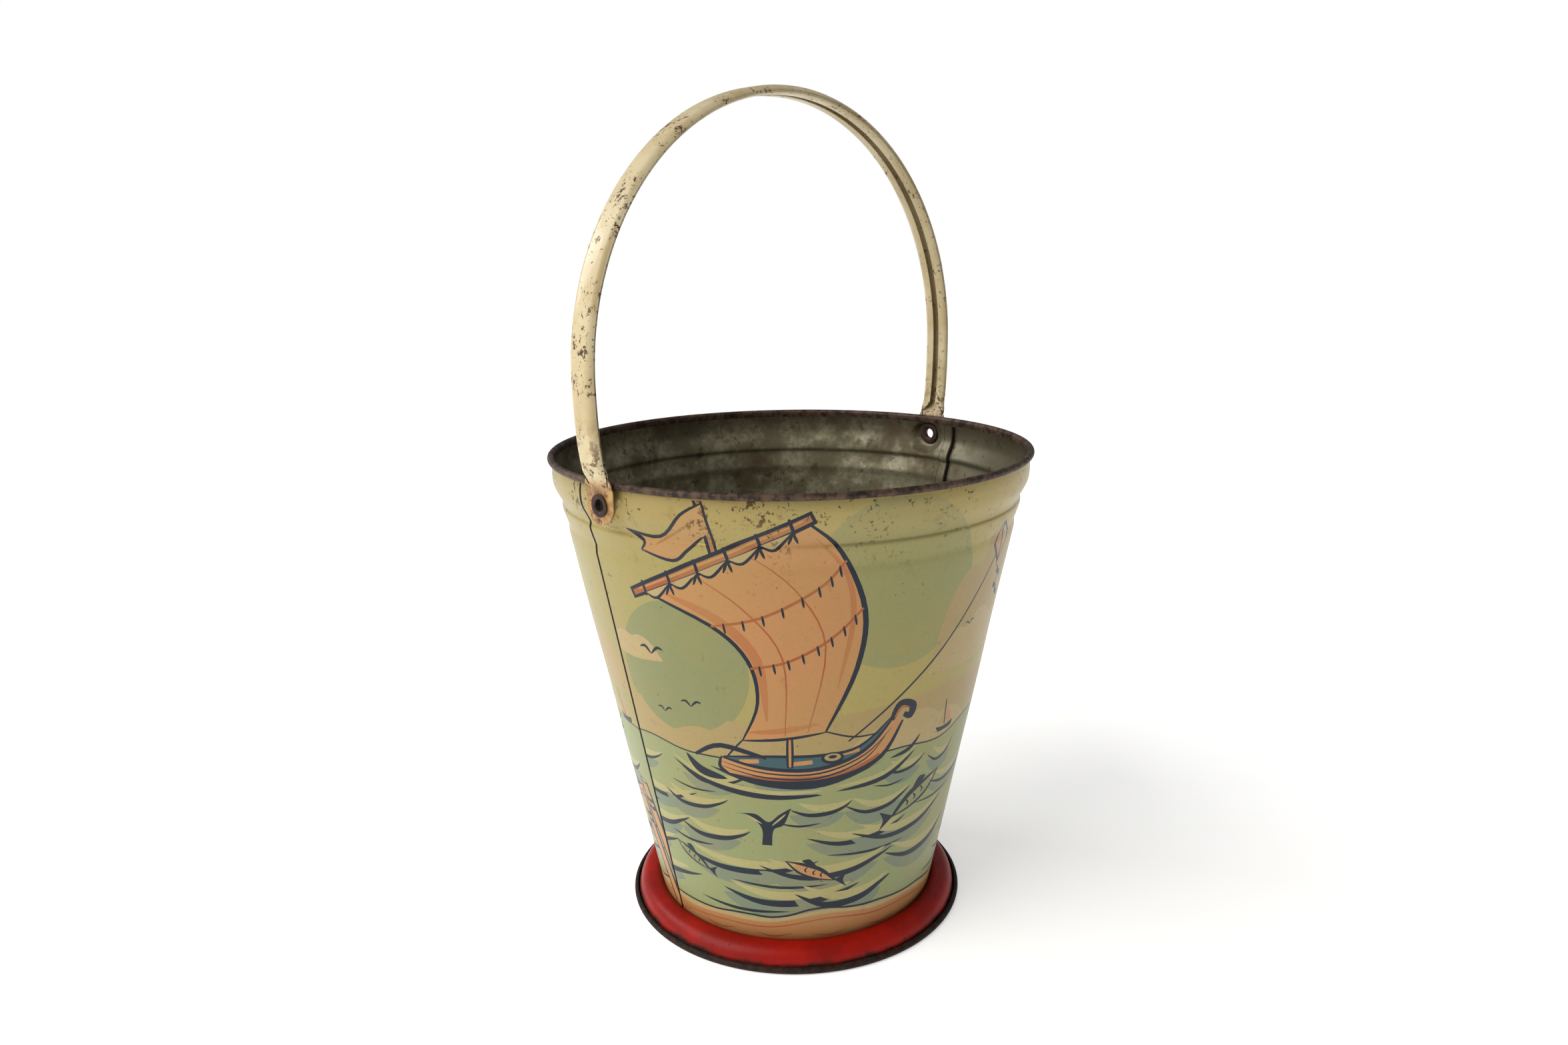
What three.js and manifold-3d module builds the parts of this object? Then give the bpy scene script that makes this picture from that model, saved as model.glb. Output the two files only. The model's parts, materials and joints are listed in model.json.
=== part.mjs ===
// A tinplate sand pail. Two half panels are locked together at two upright seams, rolled over a rim
// wire at the top and held in the channel of a flared foot ring at the bottom, over a bottom plate.
// A strap handle, rolled from flat strip with its edges turned in, swings on two tubular eyelets.
// Millimetres, +Z up. The origin is on the floor at the centre of the foot. The handle swings about X.
import * as THREE from "three";
import { mergeVertices } from "three/addons/utils/BufferGeometryUtils.js";
import Module from "manifold-3d";

const wasm = await Module();
wasm.setup();
const degrees = THREE.MathUtils.degToRad;

// ---- Driving dimensions ----------------------------------------------------------------------------
const sheet = 0.35; // thickness of the tinplate
const fitGap = 0.15; // clearance between sheets that lie against each other

const bucketHeight = 181.9; // floor to the top of the rolled rim
const rimRadius = 90; // outside of the rolled rim
const rimWireRadius = 0.7;
const rimRollSweep = degrees(280); // how far the sheet is rolled round the wire

const wallFootRadius = 53.5; // outside of the tapered wall, where it would meet the floor
const neckInset = 6.4; // each inset is measured inwards from the rim's outside
const neckBottomDrop = 27.9; // each drop is measured down from the rim's top
const neckTopDrop = 24.9;
const beadInset = 4.5;
const beadDrop = 18.9;
const grooveInset = 4.7;
const grooveDrop = 16.4;
const shoulderInset = 2;
const shoulderDrop = 10.9;
const collarInset = 1.4;
const collarDrop = 6.9;
const collarTopInset = 1.6;
const collarTopDrop = 3.9;
const rollLean = 0.15; // how far the wall leans in between the collar's top and the rim's roll

const seamHalfWidth = 2.25; // half the width of a lock seam's folds
const foldEdgeGap = 0.2; // from a folded edge to the inside of the fold that covers it
const seamTopDrop = 3; // the folds are notched away above here, so that the rim can be rolled
const seamStart = 0.7; // height of the lowest fold above the foot ring's shoulder

const footRadius = 66.4; // outside of the foot's rolled edge
const footHeight = 8; // floor to the crown of the foot ring
const footCollarDrop = 1; // crown of the foot ring down to where it leaves the wall
const footCrownStart = 1.1; // how far outside the wall the crown starts
const footCrownReach = 2.6; // from the end of the crown's flat direction in to the roll's middle
const footRollRadius = 1.2; // outside radius of the foot's rolled edge
const channelHeight = 1.95; // floor to the inside of the channel that holds the wall's lower edge
const channelLeg = 3; // height of the channel's inner leg
const bottomPlateDrop = 1.1; // crown of the foot ring down to the top of the bottom plate

const pivotDrop = 7.9; // rim's top down to the handle's hinge
const rivetFromSeam = 12.6; // distance round the rim from a seam's middle to its rivet
const seatProud = 0.1; // how far the pressed seat stands outside the rim
const seatRadius = 4.7; // flat part of the pressed seat
const seatBaseRadius = 9.1; // where the pressed seat runs out into the wall

const eyeletBoreRadius = 2;
const eyeletWall = 0.4;
const eyeletFlangeRadius = 3.9; // outside, on the ear
const eyeletInnerRadius = 4.3; // inside the bucket
const holeClearance = 0.25; // radial, round the eyelet's barrel in the handle
const pressClearance = 0.15; // radial, round the eyelet's barrel in the wall
const flangeClearance = 0.42; // between the wall's inside and the eyelet's inner flange

const handleHeight = 132.5; // hinge up to the middle of the strap at the top
const handleOverhang = 4.5; // how far the middle of the strap stands outside the rim
const handleLeg = 40; // height at which the legs run into the arch
const strapWidth = 10.5;
const strapDepth = 3.2;
const strapSlot = 2.8; // opening between the turned-in edges
const strapSheet = 0.45;
const earRadius = 6.7;
const earThickness = 0.5;
const earHeight = 5; // hinge up to where the flat ear starts to roll into the strap
const earBlend = 9; // length of that change
const earSwell = 0.2; // how much wider the strap is halfway through that change, as a share
const earBow = 1.2; // how far the leg has left the ear's plane, 4 mm above the flat ear
const earBowHeight = 4;
const legTurn = 0.35; // share of the leg's height that its outward curve is drawn towards
const strapCorner = 0.9; // cut across each turned-in corner of the strap
const strapShoulder = new THREE.Vector2(0.78, 0.17); // crown's edge, as shares of half width and depth

// ---- Facets ----------------------------------------------------------------------------------------
const holeSides = 16; // round a hole or an eyelet
const earSides = 32;
const wireSides = 8;
const collarSteps = 14; // up the beaded collar
const crownSteps = 5; // across the foot ring
const footRollSteps = 6;
const legSteps = 8;
const archSteps = 14;
const drillReach = 5; // how far a cutter runs out past the sheet it cuts

// ---- Sizes that follow -----------------------------------------------------------------------------
const layer = sheet + fitGap; // from one folded layer of a seam to the next
const pivotHeight = bucketHeight - pivotDrop;
const seatPlane = rimRadius + seatProud;
const seatTopRadius = pivotDrop - seamTopDrop; // the seat runs out sooner upwards, below the rim's roll
const earInside = seatPlane + fitGap;
const earMiddle = earInside + earThickness / 2;
const eyeletBarrelRadius = eyeletBoreRadius + eyeletWall;
const neckRadius = rimRadius - neckInset;
const neckHeight = bucketHeight - neckBottomDrop;
const wallSlope = (neckRadius - wallFootRadius) / neckHeight;
const wallThickness = sheet * Math.hypot(1, wallSlope); // measured level, through the sloping wall
const wallRadius = (height) => wallFootRadius + wallSlope * height;
const rivetAngle = rivetFromSeam / rimRadius;
const wallEdgeHeight = channelHeight + fitGap;
const plateTop = footHeight - bottomPlateDrop;

// Columns of facets. Every round piece has its facets at these angles, so that nested sheets stay clear
// of each other. Angles are counted from a seam's middle, for one half of the bucket.
const columnPitch = 1.75 / rimRadius; // beside a rivet
const columnsBesideRivet = 5;
const endColumn = degrees(4.5); // last column before the next seam
const wideColumns = 18;
const fineColumns = [];
for (let i = -columnsBesideRivet; i <= columnsBesideRivet; i++) {
  fineColumns.push(rivetAngle + i * columnPitch);
}
const seamColumn = -(seamHalfWidth + fitGap / 2) / rimRadius; // between the two butted edges
const openColumns = [];
const firstOpen = fineColumns.at(-1);
for (let i = 1; i <= wideColumns; i++) {
  openColumns.push(THREE.MathUtils.lerp(firstOpen, Math.PI - endColumn, i / wideColumns));
}

// Both halves' columns, as angles in the bucket's own frame.
function allRound(halfColumns) {
  const seamAngle = -rivetAngle;
  return [0, Math.PI].flatMap((turn) => halfColumns.map((angle) => seamAngle + turn + angle));
}
const roundColumns = allRound([seamColumn, ...fineColumns, ...openColumns]);
const plainColumns = allRound([
  seamColumn,
  fineColumns[0],
  rivetAngle,
  fineColumns.at(-1),
  ...openColumns,
]);

// ---- Shared construction ---------------------------------------------------------------------------
// Points on an arc, both ends included.
function arcPoints(centre, radius, from, to, steps) {
  const points = [];
  for (let i = 0; i <= steps; i++) {
    const angle = THREE.MathUtils.lerp(from, to, i / steps);
    points.push(new THREE.Vector2(Math.cos(angle), Math.sin(angle)).multiplyScalar(radius).add(centre));
  }
  return points;
}

// Unit normals on the left of an open outline, scaled so that an offset keeps the sheet's thickness.
function leftNormals(outline) {
  return outline.map((point, i) => {
    const before = point.clone().sub(outline[Math.max(i - 1, 0)]).normalize();
    const after = outline[Math.min(i + 1, outline.length - 1)].clone().sub(point).normalize();
    const along = before.clone().add(after).normalize();
    const normal = new THREE.Vector2(-along.y, along.x);
    const reference = before.lengthSq() > 0 ? before : after;
    const spread = Math.abs(normal.x * -reference.y + normal.y * reference.x);
    return normal.divideScalar(Math.max(spread, 0.5));
  });
}

// The closed section of a bent sheet whose one face follows the outline.
function sheetSection(outline, thickness) {
  const normals = leftNormals(outline);
  const otherFace = outline.map((point, i) => point.clone().addScaledVector(normals[i], thickness));
  return [...outline, ...otherFace.reverse()];
}

// A geometry from points and triangles, with its faces turned to point out.
function solidGeometry(points, triangles) {
  let volume = 0;
  for (const [a, b, c] of triangles) {
    volume += points[a].dot(points[b].clone().cross(points[c]));
  }
  const facing = volume > 0 ? triangles : triangles.map(([a, b, c]) => [a, c, b]);
  const geometry = new THREE.BufferGeometry().setFromPoints(points);
  geometry.setIndex(facing.flat());
  return geometry;
}

function quad(a, b, c, d) {
  return [
    [a, b, c],
    [a, c, d],
  ];
}

// Triangles between two chains of points that run side by side, given how far along each point is.
function bridge(chainA, chainB, alongA, alongB) {
  const triangles = [];
  let [a, b] = [0, 0];
  while (a < chainA.length - 1 || b < chainB.length - 1) {
    const moveA = b === chainB.length - 1 || (a < chainA.length - 1 && alongA[a + 1] < alongB[b + 1]);
    if (moveA) {
      triangles.push([chainA[a], chainA[a + 1], chainB[b]]);
      a++;
    } else {
      triangles.push([chainA[a], chainB[b + 1], chainB[b]]);
      b++;
    }
  }
  return triangles;
}

// A section of (radius, height) points carried round the bucket's axis through the given columns.
function revolve(section, columns) {
  const points = [];
  const indices = columns.map((angle) =>
    section.map(({ x: radius, y: height }, i) => {
      const onAxis = radius === 0 && angle !== columns[0];
      if (onAxis) return i;
      points.push(new THREE.Vector3(radius * Math.cos(angle), radius * Math.sin(angle), height));
      return points.length - 1;
    }),
  );
  const triangles = [];
  indices.forEach((here, column) => {
    const next = indices[(column + 1) % columns.length];
    section.forEach((_, i) => {
      const j = (i + 1) % section.length;
      triangles.push(...quad(here[i], here[j], next[j], next[i]));
    });
  });
  const real = triangles.filter(([a, b, c]) => a !== b && b !== c && c !== a);
  return solidGeometry(points, real);
}

// A solid through a row of outlines with the same number of points, closed by flat ends.
function loft(outlines, flatOutline) {
  const size = flatOutline.length;
  const triangles = [];
  for (let row = 0; row < outlines.length - 1; row++) {
    for (let i = 0; i < size; i++) {
      const j = (i + 1) % size;
      const base = row * size;
      triangles.push(...quad(base + i, base + j, base + size + j, base + size + i));
    }
  }
  const last = (outlines.length - 1) * size;
  for (const [a, b, c] of THREE.ShapeUtils.triangulateShape(flatOutline, [])) {
    triangles.push([c, b, a], [last + a, last + b, last + c]);
  }
  return matchWinding(outlines.flat(), triangles);
}

// Turns triangles so that neighbours agree, starting from the first one, then faces the solid out.
function matchWinding(points, triangles) {
  const key = (a, b) => `${Math.min(a, b)}_${Math.max(a, b)}`;
  const byEdge = new Map();
  triangles.forEach((triangle, t) => {
    triangle.forEach((a, i) => {
      const edge = key(a, triangle[(i + 1) % 3]);
      byEdge.set(edge, [...(byEdge.get(edge) ?? []), t]);
    });
  });
  const turned = new Array(triangles.length).fill(undefined);
  turned[0] = triangles[0];
  const waiting = [0];
  while (waiting.length) {
    const current = turned[waiting.pop()];
    current.forEach((a, i) => {
      const b = current[(i + 1) % 3];
      for (const t of byEdge.get(key(a, b))) {
        if (turned[t]) continue;
        const [p, q, r] = triangles[t];
        const sameWay = (p === a && q === b) || (q === a && r === b) || (r === a && p === b);
        turned[t] = sameWay ? [p, r, q] : [p, q, r];
        waiting.push(t);
      }
    });
  }
  return solidGeometry(points, turned);
}

function toManifold(geometry) {
  const bare = geometry.clone();
  bare.deleteAttribute("normal");
  bare.deleteAttribute("uv");
  const merged = mergeVertices(bare);
  return new wasm.Manifold(
    new wasm.Mesh({
      numProp: 3,
      vertProperties: merged.attributes.position.array,
      triVerts: new Uint32Array(merged.index.array),
    }),
  );
}

function fromManifold(solid) {
  const mesh = solid.getMesh();
  const geometry = new THREE.BufferGeometry();
  geometry.setAttribute("position", new THREE.BufferAttribute(mesh.vertProperties, 3));
  geometry.setIndex(new THREE.BufferAttribute(mesh.triVerts, 1));
  return geometry;
}

// A round bar along X, centred on the hinge's height.
function hingeBar(radius, from, to, sides) {
  const bar = new THREE.CylinderGeometry(radius, radius, to - from, sides);
  bar.rotateZ(Math.PI / 2);
  bar.translate((from + to) / 2, 0, pivotHeight);
  return bar;
}

// ---- Half panel: tapered wall, beaded collar, rolled rim and lock-seam folds --------------------------
const rimRollCentre = new THREE.Vector2(
  rimRadius - rimWireRadius - fitGap - sheet,
  bucketHeight - rimWireRadius - fitGap - sheet,
);
const rimRollSteps = 7;

// Outside face of the wall, from its lower edge up, as (radius, height) points.
function wallOutline() {
  const fromRim = (inset, drop) => new THREE.Vector2(rimRadius - inset, bucketHeight - drop);
  const collar = new THREE.SplineCurve([
    fromRim(neckInset, neckTopDrop),
    fromRim(beadInset, beadDrop),
    fromRim(grooveInset, grooveDrop),
    fromRim(shoulderInset, shoulderDrop),
    fromRim(collarInset, collarDrop),
    fromRim(collarTopInset, collarTopDrop),
  ]);
  const roll = arcPoints(
    rimRollCentre,
    rimWireRadius + fitGap,
    Math.PI,
    Math.PI - rimRollSweep,
    rimRollSteps,
  );
  const foldStart = footHeight + seamStart;
  return [
    new THREE.Vector2(wallRadius(wallEdgeHeight), wallEdgeHeight),
    new THREE.Vector2(wallRadius(foldStart), foldStart),
    fromRim(neckInset, neckBottomDrop),
    ...collar.getSpacedPoints(collarSteps),
    fromRim(collarTopInset + rollLean, seamTopDrop),
    ...roll,
  ];
}

// Distance that the pressed rivet seat moves a point of the wall outwards along X.
function seatShift(point, depth) {
  const up = point.z - pivotHeight;
  const distance = Math.hypot(point.y, up);
  const upward = Math.max(0, up) / Math.max(distance, 1e-6);
  const runOut = THREE.MathUtils.lerp(seatBaseRadius, seatTopRadius, upward);
  const share = 1 - THREE.MathUtils.smoothstep(distance, seatRadius, runOut);
  return point.x > 0 ? share * (seatPlane - depth - point.x) : 0;
}

function makePanel() {
  const outline = wallOutline();
  const normals = leftNormals(outline);
  const foldRows = [1, outline.length - rimRollSteps - 2]; // the folds run between these rows
  const rollRow = outline.length - rimRollSteps - 1;
  const start = -rivetAngle;
  const points = [];

  // A point of the sheet in a row: an angle from the panel's first seam, a distance along from there,
  // and a depth from the wall's outside face.
  function place(row, angle, along, depth) {
    const { x: radius, y: height } = outline[row].clone().addScaledVector(normals[row], depth);
    const turn = start + angle + along / outline[row].x;
    const point = new THREE.Vector3(radius * Math.cos(turn), radius * Math.sin(turn), height);
    if (row < rollRow) point.x += seatShift(point, depth);
    points.push(point);
    return points.length - 1;
  }

  const near = -seamHalfWidth;
  const far = -seamHalfWidth - fitGap;
  const foldReach = seamHalfWidth - sheet - foldEdgeGap;
  const columns = [...fineColumns, ...openColumns];
  // Each entry is [angle, distance along, depth]. The plain sheet runs up its outside face and back.
  const plain = [
    [0, near, 0],
    ...columns.map((angle) => [angle, 0, 0]),
    [Math.PI, far, 0],
    [Math.PI, far, sheet],
    [Math.PI, far - sheet, sheet],
    ...columns.toReversed().map((angle) => [angle, 0, sheet]),
    [0, near + sheet, sheet],
    [0, near, sheet],
  ];
  // The first edge is folded back under the wall, and the last edge drops below it and is folded up.
  const firstFold = [
    [0, near + sheet, 2 * layer],
    [0, foldReach, 2 * layer],
    [0, foldReach, 2 * layer + sheet],
    [0, near, 2 * layer + sheet],
  ];
  const lastFold = [
    [Math.PI, far, 3 * layer],
    [Math.PI, seamHalfWidth - sheet, 3 * layer],
    [Math.PI, seamHalfWidth - sheet, layer + sheet],
    [Math.PI, -foldReach, layer + sheet],
    [Math.PI, -foldReach, layer],
    [Math.PI, seamHalfWidth, layer],
    [Math.PI, seamHalfWidth, 3 * layer + sheet],
    [Math.PI, far - sheet, 3 * layer + sheet],
  ];
  const lastCorner = columns.length + 2; // in plain, where the last fold hangs on
  const firstCorner = plain.length - 2; // in plain, where the first fold hangs on

  const rows = outline.map((_, row) => plain.map((entry) => place(row, ...entry)));
  const inFolds = (row) => row >= foldRows[0] && row <= foldRows[1];
  const hang = (row, fold, corner) => [
    rows[row][corner],
    ...fold.map((entry) => place(row, ...entry)),
    rows[row][corner + 1],
  ];
  const folds = [
    { corner: lastCorner, entries: lastFold },
    { corner: firstCorner, entries: firstFold },
  ];
  for (const fold of folds) {
    fold.rows = outline.map((_, row) => (inFolds(row) ? hang(row, fold.entries, fold.corner) : []));
  }

  const triangles = [];
  const stripe = (low, high, i, j) => triangles.push(...quad(low[i], low[j], high[j], high[i]));
  for (let row = 0; row < rows.length - 1; row++) {
    const folded = inFolds(row) && inFolds(row + 1);
    const hidden = folded ? [lastCorner, firstCorner] : [];
    plain.forEach((_, i) => {
      if (!hidden.includes(i)) stripe(rows[row], rows[row + 1], i, (i + 1) % plain.length);
    });
    if (!folded) continue;
    for (const fold of folds) {
      const [low, high] = [fold.rows[row], fold.rows[row + 1]];
      for (let i = 0; i < low.length - 1; i++) stripe(low, high, i, i + 1);
    }
  }
  // Flat ends: the whole sheet at the bottom and top, and the folds where they are notched away.
  const flat = ([angle, along, depth]) => new THREE.Vector2(angle * rimRadius + along, depth);
  const outerCount = columns.length + 2; // entries of plain on the wall's outside face
  for (const row of [rows[0], rows.at(-1)]) {
    const inner = row.slice(outerCount).reverse();
    const along = [plain.slice(0, outerCount), plain.slice(outerCount).reverse()].map((face) =>
      face.map((entry) => flat(entry).x),
    );
    triangles.push(...bridge(row.slice(0, outerCount), inner, ...along));
  }
  for (const fold of folds) {
    const entries = [plain[fold.corner], ...fold.entries, plain[fold.corner + 1]];
    const faces = THREE.ShapeUtils.triangulateShape(entries.map(flat), []);
    for (const row of foldRows) {
      triangles.push(...faces.map((face) => face.map((i) => fold.rows[row][i])));
    }
  }
  const wall = toManifold(matchWinding(points, triangles));
  const holeRadius = eyeletBarrelRadius + pressClearance;
  const ends = [rimRadius - drillReach, rimRadius + drillReach];
  const hole = toManifold(hingeBar(holeRadius, ...ends, holeSides));
  return fromManifold(wall.subtract(hole));
}

// ---- Rim wire, foot ring and bottom plate ------------------------------------------------------------
function makeRimWire() {
  const lastSide = degrees(360 - 360 / wireSides);
  const section = arcPoints(rimRollCentre, rimWireRadius, 0, lastSide, wireSides - 1);
  return revolve(section, roundColumns);
}

// The face of the foot ring that is painted, from the channel's inner leg out to the rolled edge.
function footOutline() {
  const plateInside = (height) => wallRadius(height) - 2 * wallThickness - fitGap;
  const legTop = channelHeight + channelLeg;
  const collarTop = footHeight - footCollarDrop;
  const rollStep = degrees(45);
  const rollInside = footRollRadius - sheet;
  const rollReach = rollInside * Math.cos(rollStep / 2) + sheet; // centre to a facet's outside
  const rollCentre = new THREE.Vector2(footRadius - rollReach, rollReach); // a facet is on the floor
  const rollStart = Math.PI + rollStep / 2;
  const rollEnd = rollStart + footRollSteps * rollStep;
  const roll = arcPoints(rollCentre, rollInside, rollStart, rollEnd, footRollSteps);
  const crown = new THREE.QuadraticBezierCurve(
    new THREE.Vector2(wallRadius(footHeight) + fitGap + footCrownStart, footHeight),
    new THREE.Vector2(rollCentre.x - footCrownReach, footHeight),
    roll[0].clone().add(new THREE.Vector2(-0.05, footRollRadius)),
  );
  return [
    new THREE.Vector2(plateInside(legTop) - fitGap, legTop),
    new THREE.Vector2(plateInside(channelHeight) - fitGap, channelHeight),
    new THREE.Vector2(wallRadius(channelHeight) + fitGap, channelHeight),
    new THREE.Vector2(wallRadius(collarTop) + fitGap, collarTop),
    ...crown.getPoints(crownSteps),
    ...roll,
  ];
}

function makeFootRing() {
  return revolve(sheetSection(footOutline(), -sheet), plainColumns);
}

function makeBottomPlate() {
  const outside = (height) => wallRadius(height) - wallThickness - fitGap;
  const bend = 1; // cut across the corner between the plate and its flange
  const top = [
    new THREE.Vector2(0, plateTop),
    new THREE.Vector2(outside(plateTop) - bend, plateTop),
    new THREE.Vector2(outside(plateTop - bend), plateTop - bend),
    new THREE.Vector2(outside(wallEdgeHeight), wallEdgeHeight),
  ];
  const under = [
    new THREE.Vector2(outside(wallEdgeHeight) - wallThickness, wallEdgeHeight),
    new THREE.Vector2(outside(plateTop - bend) - wallThickness, plateTop - bend - sheet / 2),
    new THREE.Vector2(outside(plateTop) - bend - sheet / 2, plateTop - sheet),
    new THREE.Vector2(0, plateTop - sheet),
  ];
  return revolve([...top, ...under], plainColumns);
}

// ---- Handle and eyelets ------------------------------------------------------------------------------
// Middle line of the strap in the plane of the handle, from the right hinge up to the top:
// (distance from the bucket's axis, height above the hinge).
function handleSide() {
  const archHalf = rimRadius + handleOverhang;
  const leg = new THREE.CubicBezierCurve(
    new THREE.Vector2(earMiddle, earHeight),
    new THREE.Vector2(earMiddle + earBow, earHeight + earBowHeight),
    new THREE.Vector2(archHalf, handleLeg * legTurn),
    new THREE.Vector2(archHalf, handleLeg),
  );
  const arch = new THREE.EllipseCurve(
    0,
    handleLeg,
    archHalf,
    handleHeight - handleLeg,
    0,
    Math.PI / 2,
  );
  const hinge = new THREE.Vector2(earMiddle, 0);
  return [hinge, ...leg.getPoints(legSteps), ...arch.getPoints(archSteps).slice(1)];
}

// Middle line of the strip across the strap, from one turned-in edge to the other: (across, inwards).
function rolledStrip() {
  const half = (strapWidth - strapSheet) / 2;
  const depth = strapDepth - strapSheet;
  const side = [
    new THREE.Vector2(strapSlot / 2, depth),
    new THREE.Vector2(half - strapCorner, depth),
    new THREE.Vector2(half, depth - strapCorner),
    new THREE.Vector2(half, depth).multiply(strapShoulder),
  ];
  const other = side.map(({ x, y }) => new THREE.Vector2(-x, y));
  const middle = new THREE.Vector2(0, 0);
  return [...side, middle, ...other.reverse()].map((p) => p.add(new THREE.Vector2(0, -depth / 2)));
}

function makeHandle() {
  const rolled = sheetSection(rolledStrip(), strapSheet);
  const count = rolled.length / 2;
  const flat = rolled.map((_, i) => {
    const column = i < count ? i : 2 * count - 1 - i;
    const across = earRadius * (1 - (2 * column) / (count - 1));
    return new THREE.Vector2(across, i < count ? -earThickness / 2 : earThickness / 2);
  });
  // The rolled section's first face may be the inner or the outer one; the flat one is set to match.
  const firstFaceIsOuter = rolled[(count - 1) / 2].y < rolled[(3 * count - 1) / 2].y;
  if (!firstFaceIsOuter) flat.forEach((p) => p.setY(-p.y));

  const rightSide = handleSide();
  const leftSide = rightSide.slice(0, -1).map(({ x, y }) => new THREE.Vector2(-x, y));
  const middle = [...rightSide, ...leftSide.reverse()];
  const inward = leftNormals(middle);
  const outlines = middle.map((point, i) => {
    const share = THREE.MathUtils.smoothstep(point.y, earHeight, earHeight + earBlend);
    const swell = 1 + earSwell * 4 * share * (1 - share);
    return rolled.map((corner, j) => {
      const across = swell * THREE.MathUtils.lerp(flat[j].x, corner.x, share);
      const depth = THREE.MathUtils.lerp(flat[j].y, corner.y, share);
      const place = point.clone().addScaledVector(inward[i], depth);
      return new THREE.Vector3(place.x, across, pivotHeight + place.y);
    });
  });
  let solid = toManifold(loft(outlines, rolled));
  for (const side of [1, -1]) {
    const ends = [side * earInside, side * (earInside + earThickness)].sort((a, b) => a - b);
    solid = solid.add(toManifold(hingeBar(earRadius, ...ends, earSides)));
    const holeRadius = eyeletBarrelRadius + holeClearance;
    const cut = [ends[0] - drillReach, ends[1] + drillReach];
    solid = solid.subtract(toManifold(hingeBar(holeRadius, ...cut, holeSides)));
  }
  return fromManifold(solid);
}

// A tubular eyelet: a barrel through ear and wall, with a flange rolled over at each end.
function makeEyelet() {
  const flange = eyeletWall;
  const inner = seatPlane - sheet - flangeClearance - flange;
  const outer = earInside + earThickness + fitGap + flange;
  const profile = [
    [eyeletBoreRadius, inner],
    [eyeletInnerRadius, inner],
    [eyeletInnerRadius, inner + flange],
    [eyeletBarrelRadius, inner + flange],
    [eyeletBarrelRadius, outer - flange],
    [eyeletFlangeRadius, outer - flange],
    [eyeletFlangeRadius, outer],
    [eyeletBoreRadius, outer],
    [eyeletBoreRadius, inner],
  ];
  const eyelet = new THREE.LatheGeometry(
    profile.map(([radius, height]) => new THREE.Vector2(radius, height)),
    holeSides,
  );
  eyelet.rotateZ(-Math.PI / 2);
  return eyelet;
}

// ---- Materials and assembly --------------------------------------------------------------------------
const metal = (color, roughness, metalness) =>
  new THREE.MeshStandardMaterial({ color, roughness, metalness });

const bucket = new THREE.Group();

function addPiece(name, geometry, material) {
  const mesh = new THREE.Mesh(geometry, material);
  mesh.name = name;
  bucket.add(mesh);
  return mesh;
}

const panel = makePanel();
addPiece("rear_panel", panel, metal(0xb9b98f, 0.4, 0.1));
addPiece("front_panel", panel, metal(0xbcb78e, 0.4, 0.1)).rotation.z = Math.PI;
addPiece("rim_wire", makeRimWire(), metal(0x6a6a66, 0.5, 0.9));
addPiece("foot_ring", makeFootRing(), metal(0xb01a10, 0.35, 0.1));
addPiece("bottom_plate", makeBottomPlate(), metal(0x7f8478, 0.5, 0.8));
addPiece("handle", makeHandle(), metal(0xd8c9a0, 0.45, 0.1));

const eyelet = makeEyelet();
addPiece("right_eyelet", eyelet, metal(0x3e2a20, 0.6, 0.7)).position.z = pivotHeight;
const leftEyelet = addPiece("left_eyelet", eyelet, metal(0x40291e, 0.6, 0.7));
leftEyelet.position.z = pivotHeight;
leftEyelet.rotation.z = Math.PI;

export default bucket;
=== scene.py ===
# %% [markdown]
# # A printed tinplate sand pail
# The pail stands on a flared red foot, its wall is two half panels of printed tinplate locked together
# at two seams, and its strap handle swings on two tubular eyelets. The sizes and the hinge come from the
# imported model, which is loaded first and never moved. Lengths here are in millimetres, and only
# the finished meshes are turned into Blender's metres.

# %% Load the fixed frame
import json
import math

import bmesh
import bpy
import numpy as np
from mathutils import Matrix, Vector
from mathutils.geometry import delaunay_2d_cdt


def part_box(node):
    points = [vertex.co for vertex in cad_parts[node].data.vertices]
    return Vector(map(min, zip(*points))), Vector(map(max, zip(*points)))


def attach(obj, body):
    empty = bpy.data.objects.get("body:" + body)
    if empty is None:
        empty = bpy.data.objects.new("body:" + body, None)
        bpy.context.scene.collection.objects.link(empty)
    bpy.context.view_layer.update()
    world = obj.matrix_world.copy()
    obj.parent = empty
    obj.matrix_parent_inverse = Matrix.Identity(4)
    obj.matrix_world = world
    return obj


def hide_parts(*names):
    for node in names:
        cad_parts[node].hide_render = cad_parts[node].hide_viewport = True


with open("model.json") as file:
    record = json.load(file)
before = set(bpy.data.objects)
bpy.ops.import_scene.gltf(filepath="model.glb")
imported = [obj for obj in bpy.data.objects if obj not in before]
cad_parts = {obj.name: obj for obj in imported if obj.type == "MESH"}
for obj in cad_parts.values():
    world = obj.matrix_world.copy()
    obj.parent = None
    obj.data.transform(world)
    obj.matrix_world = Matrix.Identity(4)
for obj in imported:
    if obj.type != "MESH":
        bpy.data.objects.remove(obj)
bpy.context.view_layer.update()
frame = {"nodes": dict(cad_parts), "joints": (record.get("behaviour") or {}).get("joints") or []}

METRES = 0.001


def box_mm(node):
    """A node's lowest and highest corner, in millimetres."""
    return [Vector(corner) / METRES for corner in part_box(node)]


print("nodes:", sorted(frame["nodes"]))

# %% [markdown]
# ## Sizes
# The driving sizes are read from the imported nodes: the rim wire's box gives the rolled rim, the foot
# ring's box gives the foot, and the joint gives the hinge. The small steps of the collar are measured
# inwards and down from the rim, because that is how the tool that rolls them is set.

# %% Read the sizes from the frame
wire_low, wire_high = box_mm("rim_wire")
_, foot_high = box_mm("foot_ring")
panel_low, panel_high = box_mm("rear_panel")
eyelet_low, eyelet_high = box_mm("right_eyelet")
_, plate_high = box_mm("bottom_plate")

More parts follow.
